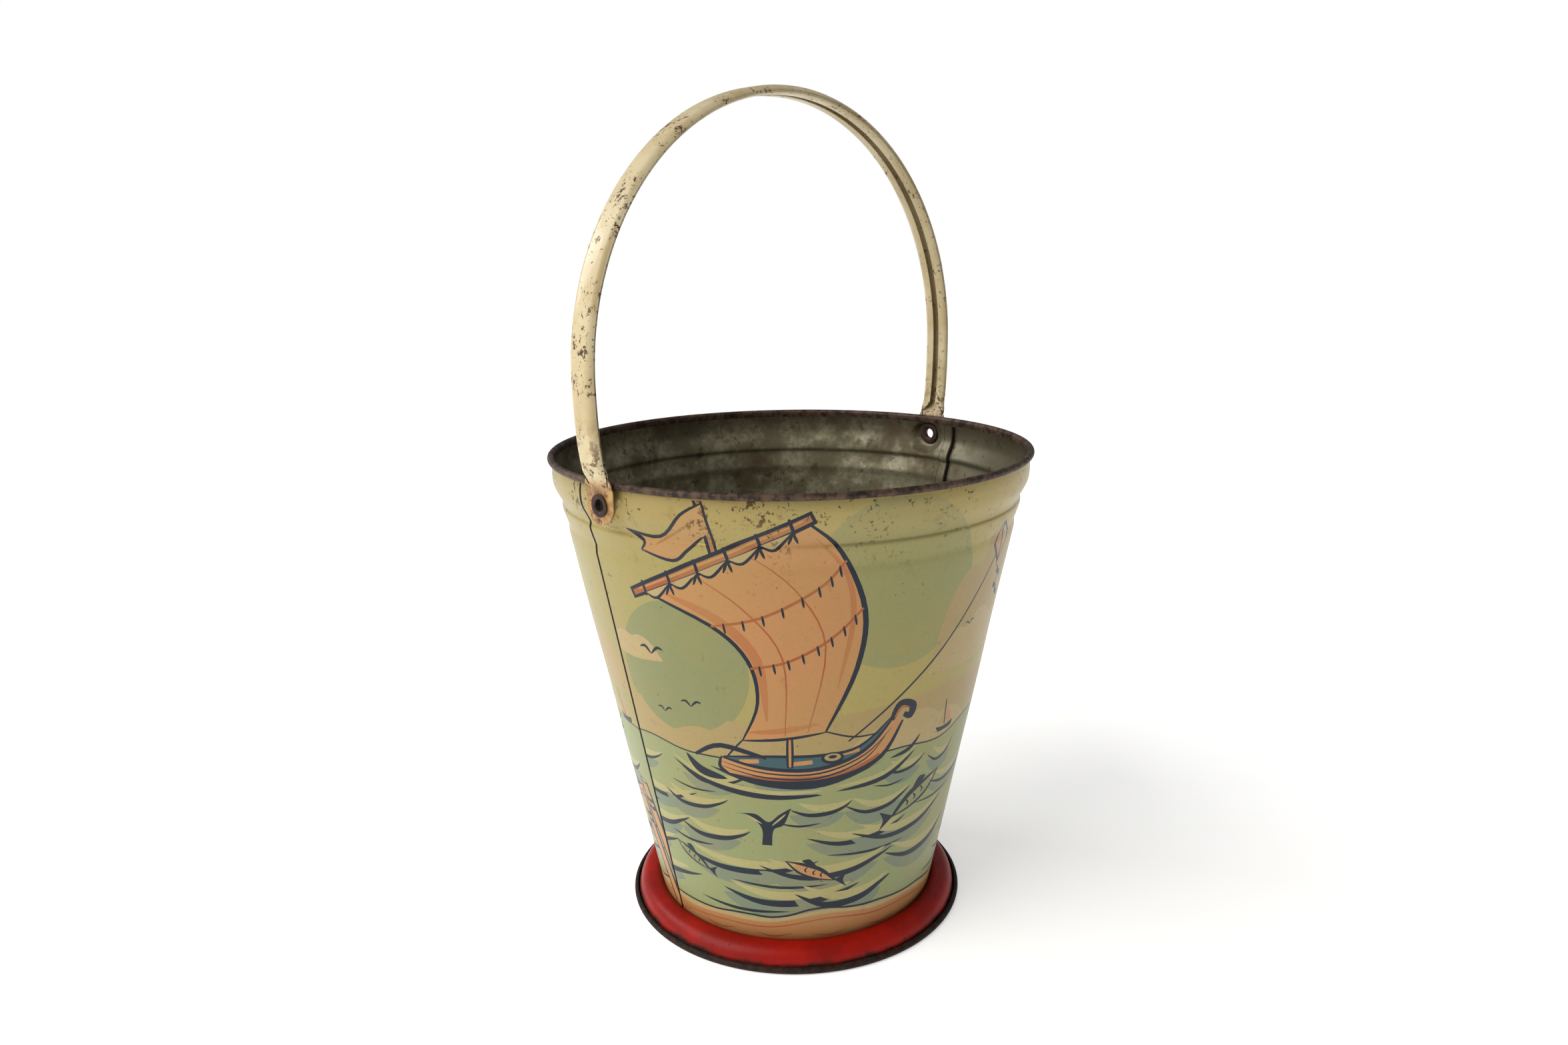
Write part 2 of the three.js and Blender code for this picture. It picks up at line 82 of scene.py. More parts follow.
SHEET = 0.35
FIT_GAP = 0.15
WIRE_RADIUS = (wire_high.z - wire_low.z) / 2
ROLL_INSIDE = WIRE_RADIUS + FIT_GAP
ROLL_RADIUS = wire_high.x - WIRE_RADIUS
ROLL_HEIGHT = (wire_high.z + wire_low.z) / 2
RIM_RADIUS = ROLL_RADIUS + ROLL_INSIDE + SHEET
RIM_HEIGHT = ROLL_HEIGHT + ROLL_INSIDE + SHEET
ROLL_SWEEP = math.radians(280)
FOOT_RADIUS = foot_high.x
FOOT_HEIGHT = foot_high.z
PLATE_TOP = plate_high.z
HINGE_HEIGHT = frame["joints"][0]["pos_m"][2] / METRES
SEAT_PLANE = panel_high.x

WALL_FOOT_RADIUS = 53.5
NECK_INSET, NECK_LOW_DROP = 6.4, 27.9
COLLAR_STEPS = [(6.4, 24.9), (4.5, 18.9), (4.7, 16.4), (2.0, 10.9), (1.4, 6.9), (1.6, 3.9)]
NECK_HEIGHT = RIM_HEIGHT - NECK_LOW_DROP
WALL_SLOPE = (RIM_RADIUS - NECK_INSET - WALL_FOOT_RADIUS) / NECK_HEIGHT

SEAM_HALF_WIDTH = 2.25
SEAM_TOP_DROP = 3.0
SEAM_LOW = FOOT_HEIGHT + 0.7
LAYER = SHEET + FIT_GAP
RIVET_FROM_SEAM = 12.6
RIVET_ANGLE = RIVET_FROM_SEAM / RIM_RADIUS
SEAT_RADIUS, SEAT_BASE = 4.7, 9.1
SEAT_TOP = RIM_HEIGHT - HINGE_HEIGHT - SEAM_TOP_DROP
HOLE_RADIUS = 2.55
print(f"rim radius {RIM_RADIUS:.2f}, rim height {RIM_HEIGHT:.2f}, hinge height {HINGE_HEIGHT:.2f} mm")

# %% [markdown]
# ## Camera, floor and light
# The bucket is seen from a little above its rim, with a wide lens close by, which is why the foot looks
# so small. A big soft light from the left does most of the work, as a window does. A smaller one further
# round gives the left edge its sheen, and the pale world around the bucket keeps the dark side readable.

# %% Set up the camera
VIEW_AZIMUTH = math.radians(-47)
CAMERA_ASIDE, CAMERA_BACK, CAMERA_HEIGHT = -2.83, 417.4, 254.1
CAMERA_PITCH, CAMERA_ROLL = 0.242, -0.015
SENSOR_WIDTH, LENS = 36.0, 25.73

turn_to_view = Matrix.Rotation(VIEW_AZIMUTH, 3, "Z")
forward = Vector((0, math.cos(CAMERA_PITCH), -math.sin(CAMERA_PITCH)))
level = Vector((1, 0, 0))
above = level.cross(forward)
right = level * math.cos(CAMERA_ROLL) + above * math.sin(CAMERA_ROLL)
upright = above * math.cos(CAMERA_ROLL) - level * math.sin(CAMERA_ROLL)
turned = Matrix((turn_to_view @ right, turn_to_view @ upright, turn_to_view @ -forward)).transposed()

camera = bpy.data.objects.new("camera", bpy.data.cameras.new("camera"))
bpy.context.scene.collection.objects.link(camera)
camera.data.sensor_width = SENSOR_WIDTH
camera.data.lens = LENS
camera.data.clip_start = 0.01
camera.location = turn_to_view @ Vector((CAMERA_ASIDE, -CAMERA_BACK, CAMERA_HEIGHT)) * METRES
camera.rotation_euler = turned.to_euler()
bpy.context.scene.camera = camera
bpy.context.scene.view_settings.view_transform = "Standard"
print("camera at", [round(c, 3) for c in camera.location])


# %% Set up the lights
def add_light(name, kind, azimuth, elevation, power, tint, **settings):
    """A soft light aimed at the middle of the bucket, with its direction given as seen from the camera."""
    lamp = bpy.data.objects.new(name, bpy.data.lights.new(name, kind))
    bpy.context.scene.collection.objects.link(lamp)
    lamp.data.energy = power
    lamp.data.color = tint
    for setting, value in settings.items():
        setattr(lamp.data, setting, value)
    around, up = math.radians(azimuth), math.radians(elevation)
    direction = Vector((math.sin(around) * math.cos(up), -math.cos(around) * math.cos(up), math.sin(up)))
    direction = turn_to_view @ direction
    lamp.location = Vector((0, 0, 0.14)) + direction * 1.2
    lamp.rotation_euler = direction.to_track_quat("Z", "Y").to_euler()
    return lamp


WORLD_LIGHT, WORLD_SEEN = 0.31, 1.0
add_light("window_light", "SUN", -62, 39, 2.1, (1.0, 0.985, 0.95), angle=math.radians(50))
add_light("side_light", "AREA", -108, 27, 3.4, (1.0, 1.0, 1.0), size=0.4)
print("lights:", [item.name for item in bpy.data.lights])

# %% [markdown]
# ## Materials
# Every finish is a small node network on a Principled shader. Colours are written as sRGB hex values and
# one function turns them to the linear values that the shader works in. One function adds a node with its
# settings and links, and gives back the output that the next node needs. Pattern sizes are in millimetres:
# a texture's scale counts repeats in a metre, so a blob of a given size needs half a metre over that size.


# %% Colour and node helpers
def linear(hex_colour):
    """An sRGB hex colour as linear red, green, blue and alpha."""
    parts = [int(hex_colour[i : i + 2], 16) / 255 for i in (1, 3, 5)]
    return [c / 12.92 if c <= 0.04045 else ((c + 0.055) / 1.055) ** 2.4 for c in parts] + [1.0]


def add_node(tree, kind, inputs, output=0, **settings):
    """Adds a node and gives back one output, if it has any. A socket is linked, other values are set."""
    made = tree.nodes.new("ShaderNode" + kind)
    for name, value in settings.items():
        setattr(made, name, value)
    for name, value in inputs.items():
        if isinstance(value, bpy.types.NodeSocket):
            tree.links.new(value, made.inputs[name])
        else:
            made.inputs[name].default_value = value
    return made.outputs[output] if made.outputs else None


NOISE_BLOB = 500  # mm across, where a noise's scale is 1


def blobs(size_mm, detail=3.0, roughness=0.55):
    """The settings of a noise whose blobs are about size_mm across."""
    return {"Scale": NOISE_BLOB / size_mm, "Detail": detail, "Roughness": roughness}


def new_finish(name):
    """An empty material with its Principled shader, and places on the object in metres."""
    material = bpy.data.materials.new(name)
    material.use_nodes = True
    tree = material.node_tree
    tree.nodes.clear()
    surface = add_node(tree, "BsdfPrincipled", {})
    add_node(tree, "OutputMaterial", {"Surface": surface})
    places = add_node(tree, "TexCoord", {}, "Object")
    return material, tree, surface.node, places


def weathered(tree, places, base, layers):
    """A base colour under layers of (colour, strength, blob size, low, high, where).

    Each layer shows where its noise rises from low to high, times where, which may be 1 or a mask.
    """
    for colour, strength, size_mm, low, high, where in layers:
        cloud = add_node(tree, "TexNoise", {"Vector": places, **blobs(size_mm, 4.0, 0.65)})
        share = {"Value": cloud, "From Min": low, "From Max": high, "To Max": strength}
        share = add_node(tree, "MapRange", share, interpolation_type="SMOOTHSTEP")
        share = add_node(tree, "Math", {0: share, 1: where}, operation="MULTIPLY")
        mixed = {0: share, 6: base, 7: linear(colour)}
        base = add_node(tree, "Mix", mixed, 2, data_type="RGBA")
    return base


def rust_marks(tree, places, size_mm, amount):
    """A mask of rust spots and pinholes: clustered, hard-edged and uneven in size."""
    clusters = add_node(tree, "TexNoise", {"Vector": places, **blobs(size_mm * 9, 2.0)})
    spots = add_node(tree, "TexNoise", {"Vector": places, **blobs(size_mm, 4.0, 0.7)})
    together = {0: clusters, 1: 0.5, 2: spots}
    together = add_node(tree, "Math", together, operation="MULTIPLY_ADD")
    edges = {"Value": together, "From Min": 1.02 - amount, "From Max": 1.06 - amount}
    return add_node(tree, "MapRange", edges, interpolation_type="SMOOTHSTEP")


# %% [markdown]
# ### The studio's walls
# A lit backdrop looks brighter than the light it sends back to the bucket, so the world is white to the
# camera and dimmer to everything else.

# %% Set up the backdrop
world = bpy.data.worlds.new("studio")
bpy.context.scene.world = world
world.use_nodes = True
backdrop = world.node_tree.nodes["Background"]
backdrop.inputs["Color"].default_value = (1, 1, 1, 1)
seen = add_node(world.node_tree, "LightPath", {}, "Is Camera Ray")
strength = {"Value": seen, "To Min": WORLD_LIGHT, "To Max": WORLD_SEEN}
strength = add_node(world.node_tree, "MapRange", strength)
world.node_tree.links.new(strength, backdrop.inputs["Strength"])
print("backdrop", WORLD_SEEN, "and its light", WORLD_LIGHT)

# %% [markdown]
# ### Printed tinplate
# The picture is offset-printed on flat tinplate in a few inks and then varnished, before the sheet is cut
# and rolled. So each ink is flat and sharp-edged, and all of them share one aged varnish: yellowed in
# soft clouds, browner near the rim where hands and weather reach, with pinholes of rust. The varnish's IOR
# is about 1.5, which is the shader's usual value, and it gives a broad satin sheen. The ink film's grain
# is about 0.1 mm, too fine to show, so it is drawn at 0.6 mm. The sky and the discs are thin lacquers over
# bright tin, so they are part metal, and the ridges of the collar glint.


# %% Make the printed inks
def printed_tinplate(name, ink, age, metal):
    material, tree, shader, places = new_finish(name)
    height = add_node(tree, "SeparateXYZ", {0: places}, "Z")
    near_rim = {"Value": height, "From Min": 0.145, "From Max": 0.180}
    near_rim = add_node(tree, "MapRange", near_rim, interpolation_type="SMOOTHSTEP")
    # Yellowed clouds, grain of the film; near the rim a golden tone that is partly a varnish stain and partly
    # painted sheen, stain spots and soot; and a few brown runs.
    layers = [
        ("#A48C4E", 0.3 * age, 28, 0.38, 0.68, 1.0),
        ("#7A6C40", 0.16 * age, 0.6, 0.3, 0.8, 1.0),
        ("#AC9460", 0.4 * age, 90, 0.0, 0.2, near_rim),
        ("#9C6E28", 0.32 * age, 6, 0.56, 0.76, near_rim),
        ("#5A4520", 0.35, 4, 0.57, 0.77, near_rim),
        ("#6E5A2C", 0.4 * age, 3, 0.62, 0.78, 1.0),
    ]
    aged = weathered(tree, places, linear(ink), layers)
    small, large = rust_marks(tree, places, 0.6, 0.055), rust_marks(tree, places, 1.5, 0.015)
    pinholes = add_node(tree, "Math", {0: small, 1: large}, operation="MAXIMUM")
    rim_pinholes = {0: rust_marks(tree, places, 0.9, 0.155), 1: near_rim}
    rim_pinholes = add_node(tree, "Math", rim_pinholes, operation="MULTIPLY")
    rusted = add_node(tree, "Math", {0: pinholes, 1: rim_pinholes}, operation="MAXIMUM")
    rusted = add_node(tree, "Math", {0: rusted, 1: 0.85}, operation="MULTIPLY")
    aged = add_node(tree, "Mix", {0: rusted, 6: aged, 7: linear("#3A2413")}, 2, data_type="RGBA")
    tree.links.new(aged, shader.inputs["Base Color"])
    shader.inputs["Roughness"].default_value = 0.40
    shader.inputs["Metallic"].default_value = metal
    shader.inputs["Specular IOR Level"].default_value = 0.25
    shader.inputs["Coat Weight"].default_value = 0.12
    shader.inputs["Coat Roughness"].default_value = 0.18
    # The wall is uneven by a third of a millimetre over about 9 mm, which bends its reflections.
    uneven = add_node(tree, "TexNoise", {"Vector": places, **blobs(9, 2.0)})
    bump = add_node(tree, "Bump", {"Height": uneven, "Distance": 0.35 * METRES, "Strength": 1.0})
    tree.links.new(bump, shader.inputs["Normal"])
    return material


INKS = {
    "sky": "#A2965C",
    "haze": "#A68F5E",
    "cloud": "#B19B6C",
    "disc": "#868A5E",
    "far_disc": "#8B8A5A",
    "sea": "#8C9464",
    "sea_light": "#ABA36E",
    "sea_deep": "#73806A",
    "coral": "#BB8350",
    "coral_mid": "#B16C3C",
    "coral_deep": "#9E4D26",
    "sand": "#B07C50",
    "navy": "#0A1A2B",
    "teal_line": "#36545A",
}
LINE_INKS = ("navy", "teal_line")
LACQUER_INKS = ("sky", "disc", "far_disc")
inks = {}
for name, colour in INKS.items():
    age, metal = 0.05 if name in LINE_INKS else 1.0, 0.4 if name in LACQUER_INKS else 0.0
    inks[name] = printed_tinplate(f"printed_{name}", colour, age, metal)
print(len(inks), "inks")

# %% [markdown]
# ### Bare metal, enamel and rust
# Inside, the tinplate is bare: a thin bright coat of tin on steel that has gone grey-green and brown. The
# foot and the handle are stoved enamel: hard, glossy paint that chips to brown steel on every edge. The
# rim roll and the eyelets were never painted, or have long lost it, and are evenly rusted.


# %% Make the bare metals
def bare_tinplate():
    """Dull tin with brown stains, and painted shade on one side. The stains are rough and no longer metallic.
    """
    material, tree, shader, places = new_finish("dulled_tinplate")
    height = add_node(tree, "SeparateXYZ", {0: places}, "Z")
    near_rim = {"Value": height, "From Min": 0.168, "From Max": 0.183}
    near_rim = add_node(tree, "MapRange", near_rim, interpolation_type="SMOOTHSTEP")
    # The inside is darker towards the right and the front: painted shade, together with a stain.
    towards_shaded_side = (0.68, -0.73, 0)
    shade_and_stain_side = {0: places, 1: towards_shaded_side}
    shade_and_stain_side = add_node(tree, "VectorMath", shade_and_stain_side, "Value", operation="DOT_PRODUCT")
    shade_and_stain_side = add_node(tree, "MapRange", {"Value": shade_and_stain_side, "From Min": 0.03, "From Max": 0.08})
    layers = [
        # Painted shade, with a stain, on the side towards the right and the front.
        ("#3E3A2A", 0.75, 60, 0.0, 0.2, shade_and_stain_side),
        ("#5E583F", 0.9, 8, 0.40, 0.60, 1.0),
        ("#615B45", 0.6, 1.3, 0.42, 0.62, 1.0),
        ("#4C3822", 0.6, 16, 0.50, 0.64, 1.0),
        ("#3F2A17", 0.7, 2.2, 0.58, 0.68, 1.0),
        ("#3B2E20", 0.5, 60, 0.0, 0.2, near_rim),
    ]
    colour = weathered(tree, places, linear("#928C72"), layers)
    tree.links.new(colour, shader.inputs["Base Color"])
    shader.inputs["Metallic"].default_value = 0.45
    stains = add_node(tree, "TexNoise", {"Vector": places, **blobs(8, 4.0)})
    rough = {"Value": stains, "From Min": 0.4, "From Max": 0.65, "To Min": 0.42, "To Max": 0.7}
    tree.links.new(add_node(tree, "MapRange", rough), shader.inputs["Roughness"])
    # The crystals of the tin stand 0.04 mm high.
    fine = add_node(tree, "TexNoise", {"Vector": places, **blobs(1.3, 4.0, 0.7)})
    bump = add_node(tree, "Bump", {"Height": fine, "Distance": 0.04 * METRES, "Strength": 1.0})
    tree.links.new(bump, shader.inputs["Normal"])
    return material


def rusted_steel(name, light, dark, rough, metal=0.35):
    """Even rust: two browns in patches of 1.6 mm, over pits 0.09 mm deep."""
    material, tree, shader, places = new_finish(name)
    colour = weathered(tree, places, linear(light), [(dark, 1.0, 1.6, 0.38, 0.64, 1.0)])
    tree.links.new(colour, shader.inputs["Base Color"])
    shader.inputs["Metallic"].default_value = metal
    shader.inputs["Roughness"].default_value = rough
    pits = add_node(tree, "TexNoise", {"Vector": places, **blobs(0.7, 4.0, 0.7)})
    bump = add_node(tree, "Bump", {"Height": pits, "Distance": 0.09 * METRES, "Strength": 1.0})
    tree.links.new(bump, shader.inputs["Normal"])
    return material


tin_inside = bare_tinplate()
rim_rust = rusted_steel("rusted_rim_roll", "#5B4636", "#24160F", 0.6)
eyelet_rust = rusted_steel("rusted_eyelet_steel", "#44281B", "#1C110D", 0.55)
wire_steel = rusted_steel("drawn_steel_wire", "#5A4A3E", "#2C211B", 0.5)
# Near-black for the folds of the seams: grime, and painted shade in their creases.
crease_grime_and_shade = rusted_steel("grime_in_the_seams", "#2A1D12", "#140E09", 0.8, 0.0)


# %% Make the two enamels
def red_enamel():
    """The foot's red, worn through to brown steel on the rolled edge and in a few spots."""
    material, tree, shader, places = new_finish("stoved_red_enamel")
    level = add_node(tree, "VectorMath", {0: places, 1: (1, 1, 0)}, operation="MULTIPLY")
    out = add_node(tree, "VectorMath", {0: level}, "Value", operation="LENGTH")
    ragged = add_node(tree, "TexNoise", {"Vector": places, **blobs(3.5, 4.0, 0.65)})
    out = add_node(tree, "Math", {0: ragged, 1: 1.6 * METRES, 2: out}, operation="MULTIPLY_ADD")
    edge = (FOOT_RADIUS - 1.9) * METRES
    worn_edge = {"Value": out, "From Min": edge, "From Max": edge + 0.7 * METRES}
    worn_edge = add_node(tree, "MapRange", worn_edge, interpolation_type="SMOOTHSTEP")
    # The red darkens next to the wall, fading out over 3 mm.
    wall = (WALL_FOOT_RADIUS + 2.2) * METRES
    darker_by_wall = {"Value": out, "From Min": wall, "From Max": wall + 3 * METRES, "To Min": 1.0, "To Max": 0.0}
    darker_by_wall = add_node(tree, "MapRange", darker_by_wall, interpolation_type="SMOOTHSTEP")
    layers = [
        ("#860C03", 1.0, 14, 0.35, 0.65, 1.0),
        ("#5C0A04", 0.5, 5, 0.55, 0.75, 1.0),
        ("#3C0D08", 0.65, 60, 0.0, 0.2, darker_by_wall),
    ]
    shade = weathered(tree, places, linear("#A21306"), layers)
    spots = rust_marks(tree, places, 0.7, 0.075)
    worn = add_node(tree, "Math", {0: worn_edge, 1: spots}, operation="MAXIMUM")
    steel = weathered(tree, places, linear("#35221A"), [("#1A1310", 1.0, 1.3, 0.35, 0.65, 1.0)])
    shade = add_node(tree, "Mix", {0: worn, 6: shade, 7: steel}, 2, data_type="RGBA")
    tree.links.new(shade, shader.inputs["Base Color"])
    rough = add_node(tree, "MapRange", {"Value": worn, "To Min": 0.42, "To Max": 0.65})
    tree.links.new(rough, shader.inputs["Roughness"])
    shader.inputs["Specular IOR Level"].default_value = 0.2
    # Paint that was dipped and ran is uneven by about a tenth of a millimetre.
    runs = add_node(tree, "TexNoise", {"Vector": places, **blobs(2.6)})
    bump = add_node(tree, "Bump", {"Height": runs, "Distance": 0.12 * METRES, "Strength": 1.0})
    tree.links.new(bump, shader.inputs["Normal"])
    return material


def cream_enamel():
    """The handle's cream, amber at the ears where the varnish pooled, chipped to rust along its length."""
    material, tree, shader, places = new_finish("stoved_cream_enamel")
    height = add_node(tree, "SeparateXYZ", {0: places}, "Z")
    ripple = add_node(tree, "TexNoise", {"Vector": places, **blobs(3)})
    height = add_node(tree, "Math", {0: ripple, 1: 4 * METRES, 2: height}, operation="MULTIPLY_ADD")
    ear = (HINGE_HEIGHT + 8) * METRES
    amber = {"Value": height, "From Min": ear, "From Max": ear + 4 * METRES, "To Min": 1.0, "To Max": 0.0}
    amber = add_node(tree, "MapRange", amber, interpolation_type="SMOOTHSTEP")
    low_strap = {"Value": height, "From Min": ear, "From Max": ear + 26 * METRES}
    low_strap.update({"To Min": 1.0, "To Max": 0.0})
    low_strap = add_node(tree, "MapRange", low_strap, interpolation_type="SMOOTHSTEP")
    layers = [
        ("#C3AE80", 1.0, 12, 0.35, 0.65, 1.0),
        ("#AD8038", 0.92, 60, 0.0, 0.2, amber),
        ("#8A5A20", 0.8, 3, 0.44, 0.62, amber),
        ("#54341A", 0.8, 1.6, 0.56, 0.66, amber),
        ("#7A5227", 0.7, 2.6, 0.52, 0.62, low_strap),
    ]
    shade = weathered(tree, places, linear("#D6C69E"), layers)
    speckle = rust_marks(tree, places, 0.7, 0.14)
    low_chips = {0: rust_marks(tree, places, 1.3, 0.20), 1: low_strap}
    low_chips = add_node(tree, "Math", low_chips, operation="MULTIPLY")
    speckle = add_node(tree, "Math", {0: speckle, 1: low_chips}, operation="MAXIMUM")
    clusters = add_node(tree, "TexNoise", {"Vector": places, **blobs(11, 2.0)})
    chips = add_node(tree, "TexNoise", {"Vector": places, **blobs(1.5, 5.0, 0.75)})
    chips = add_node(tree, "Math", {0: clusters, 1: 0.55, 2: chips}, operation="MULTIPLY_ADD")
    chips = {"Value": chips, "From Min": 0.92, "From Max": 0.95}
    chips = add_node(tree, "MapRange", chips, interpolation_type="SMOOTHSTEP")
    chipped = add_node(tree, "Math", {0: speckle, 1: chips}, operation="MAXIMUM")
    rust = weathered(tree, places, linear("#3B2414"), [("#5E3A1E", 1.0, 1.0, 0.35, 0.65, 1.0)])
    shade = add_node(tree, "Mix", {0: chipped, 6: shade, 7: rust}, 2, data_type="RGBA")
    tree.links.new(shade, shader.inputs["Base Color"])
    rough = add_node(tree, "MapRange", {"Value": chipped, "To Min": 0.36, "To Max": 0.72})
    tree.links.new(rough, shader.inputs["Roughness"])
    shader.inputs["Coat Weight"].default_value = 0.15
    # A chip is as deep as the paint, 0.03 mm.
    paint = add_node(tree, "Math", {0: 1.0, 1: chipped}, operation="SUBTRACT")
    bump = add_node(tree, "Bump", {"Height": paint, "Distance": 0.03 * METRES, "Strength": 0.8})
    tree.links.new(bump, shader.inputs["Normal"])
    return material


foot_red = red_enamel()
handle_cream = cream_enamel()
print(len(bpy.data.materials), "materials")

# %% [markdown]
# ## The wall: two half panels
# Each half of the wall is one flat blank: it is printed, cut, rolled to a half cone, and its two upright
# edges are folded over so that they hook into the other half's edges. Modelling it in the same order gives
# the right result with no images. The blank is a flat drawing, every printed area is cut into the mesh
# as its own faces, and then each point is carried from the drawing to its place on the cone.


# %% Curves that the outlines are made of
def curve_through(points, closed=False, steps=8):
    """Points of a smooth curve through the points given."""
    points = np.array(points, float)
    count = len(points)
    made = []
    for i in range(count if closed else count - 1):
        picks = [i - 1, i, i + 1, i + 2]
        picks = [p % count if closed else min(max(p, 0), count - 1) for p in picks]
        a, b, c, d = points[picks]
        for t in np.arange(steps) / steps:
            cubic = (3 * b - a - 3 * c + d) * t**3
            made.append((2 * b + (c - a) * t + (2 * a - 5 * b + 4 * c - d) * t * t + cubic) / 2)
    if not closed:
        made.append(points[-1])
    return np.array(made)


def arc(centre, radius, start, sweep, steps):
    """Points of an arc. Its start and sweep are in degrees."""
    angles = np.radians(start + sweep * np.arange(steps + 1) / steps)
    return np.array(centre) + radius * np.stack([np.cos(angles), np.sin(angles)], axis=-1)


def softened(points, cut, steps=3):
    """A line whose corners are rounded, each starting cut[i] before the corner."""
    points = [np.array(p, float) for p in points]
    made = [points[0]]
    for before, corner, after, back in zip(points, points[1:], points[2:], cut):
        start = corner + (before - corner) / np.linalg.norm(before - corner) * back
        end = corner + (after - corner) / np.linalg.norm(after - corner) * back
        for t in np.arange(steps + 1) / steps:
            made.append(start * (1 - t) ** 2 + 2 * corner * t * (1 - t) + end * t * t)
    return np.array(made + [points[-1]])


def beside(points, distance):
    """The line that runs at a distance to the left of a line. A negative distance is to the right."""
    points = np.array(points, float)
    steps = np.diff(points, axis=0)
    steps /= np.linalg.norm(steps, axis=1)[:, None]
    left = np.stack([-steps[:, 1], steps[:, 0]], axis=-1)
    before = np.vstack([left[:1], left])
    after = np.vstack([left, left[-1:]])
    mitre = (before + after) / (1 + np.sum(before * after, axis=1))[:, None]
    return points + mitre * distance


# %% The wall's profile, from its lower edge up to the rim roll
def smoothstep(value, low, high):
    share = np.clip((value - low) / (high - low), 0, 1)
    return share * share * (3 - 2 * share)


collar = curve_through([(RIM_RADIUS - inset, RIM_HEIGHT - drop) for inset, drop in COLLAR_STEPS], steps=9)
wall_low = (WALL_FOOT_RADIUS + WALL_SLOPE * panel_low.z, panel_low.z)
wall_profile = np.vstack([[wall_low, (RIM_RADIUS - NECK_INSET, NECK_HEIGHT)], collar])
ROLL_INSET = 1.75  # from the rim's radius to the wall, where the roll round the wire begins
wall_profile = np.vstack([wall_profile, (RIM_RADIUS - ROLL_INSET, RIM_HEIGHT - SEAM_TOP_DROP)])
lengths = np.linalg.norm(np.diff(wall_profile, axis=0), axis=1)
wall_path = np.concatenate([[0], np.cumsum(lengths)])
WALL_LENGTH = wall_path[-1]
NECK_PATH = wall_path[1]
BEND = 0.6
START_SEAM = -RIVET_ANGLE


def wall_radius(path):
    return np.interp(path, wall_path, wall_profile[:, 0])


def wall_height(path):
    return np.interp(path, wall_path, wall_profile[:, 1])


def path_at(height):
    return np.interp(height, wall_profile[:, 1], wall_path)


def rolled_place(angle, path, depth=0.0):
    """A place on a panel, or depth inside it. Its rivet is on +X, and a pressed seat is round the rivet."""
    step = 0.2
    inward = wall_radius(path - step) - wall_radius(path + step)
    lean = np.arctan2(inward, wall_height(path + step) - wall_height(path - step))
    radius = wall_radius(path) - depth * np.cos(lean)
    height = wall_height(path) - depth * np.sin(lean)
    x, y = radius * np.cos(angle), radius * np.sin(angle)
    up = height - HINGE_HEIGHT
    distance = np.hypot(y, up)
    upward = np.maximum(0, up) / np.maximum(distance, 1e-6)
    run_out = SEAT_BASE + (SEAT_TOP - SEAT_BASE) * upward
    pressed = np.where(x > 0, 1 - smoothstep(distance, SEAT_RADIUS, run_out), 0)
    return np.stack([x + pressed * (SEAT_PLANE - depth - x), y, height], axis=-1)


def knocked(angle, path):
    """Small old dents, under a fifth of a millimetre, that fade out at the seams, the foot and the collar."""
    inside = smoothstep(path, 12, 30) * (1 - smoothstep(path, NECK_PATH - 14, NECK_PATH))
    inside = inside * smoothstep(np.sin(angle - START_SEAM), 0.03, 0.2)
    broad = np.sin(5.1 * angle + path / 31) * np.sin(path / 21 + 2 * np.sin(2 * angle))
    fine = np.sin(11.3 * angle + 1.0) * np.sin(path / 8.5 + 3 * np.sin(3 * angle))
    return inside * (0.13 * broad + 0.05 * fine)


narrow, wide = math.pi * wall_radius(0), math.pi * RIM_RADIUS
print(f"a panel's blank is {WALL_LENGTH:.1f} mm high and {narrow:.0f} to {wide:.0f} mm wide")


# %% [markdown]
# ### The cut blank
# Blender's 2D triangulator takes any number of overlapping outlines and gives back faces that no outline
# crosses, with a list of the outlines that each face is inside. The ink of a face is that of the
# outline drawn last. A fine net of extra points makes the faces small enough to follow the cone and
# the ridges of the collar.

# %% Cut the printed areas into the blank
BLANK_WIDTH = 236.0
COLUMN_STEP = 1.95
CONE_ROW_STEP = 4.4
COLLAR_ROW_STEP = 0.75


def seam_angles(path):
    """The angles where a panel's plain part starts and ends, and the folds of its seams begin."""
    radius = wall_radius(path)
    start = START_SEAM + (BEND - SEAM_HALF_WIDTH) / radius
    end = START_SEAM + math.pi - (BEND + SEAM_HALF_WIDTH + FIT_GAP) / radius
    return start, end


def flattened(angle, path):
    """A place on the drawing of the blank, whose left and right edges are upright."""
    start, end = seam_angles(path)
    return np.stack([(angle - start) / (end - start) * BLANK_WIDTH, path + 0 * angle], axis=-1)


def unflattened(across, path):
    start, end = seam_angles(path)
    return start + across / BLANK_WIDTH * (end - start)


def ring_round_rivet(radius, count):
    """A circle round the rivet's axis, on the drawing."""
    around = 2 * math.pi * np.arange(count) / count
    height = HINGE_HEIGHT + radius * np.sin(around)
    path = path_at(height)
    return flattened(np.arcsin(radius * np.cos(around) / wall_radius(path)), path)


fold_path = path_at(SEAM_LOW)
cone_rows = np.linspace(fold_path, NECK_PATH, int((NECK_PATH - fold_path) / CONE_ROW_STEP) + 1)
collar_rows = np.linspace(NECK_PATH, WALL_LENGTH, int((WALL_LENGTH - NECK_PATH) / COLLAR_ROW_STEP) + 1)
rows = np.concatenate([[0], cone_rows, collar_rows[1:]])
columns = np.linspace(0, BLANK_WIDTH, int(BLANK_WIDTH / COLUMN_STEP) + 1)


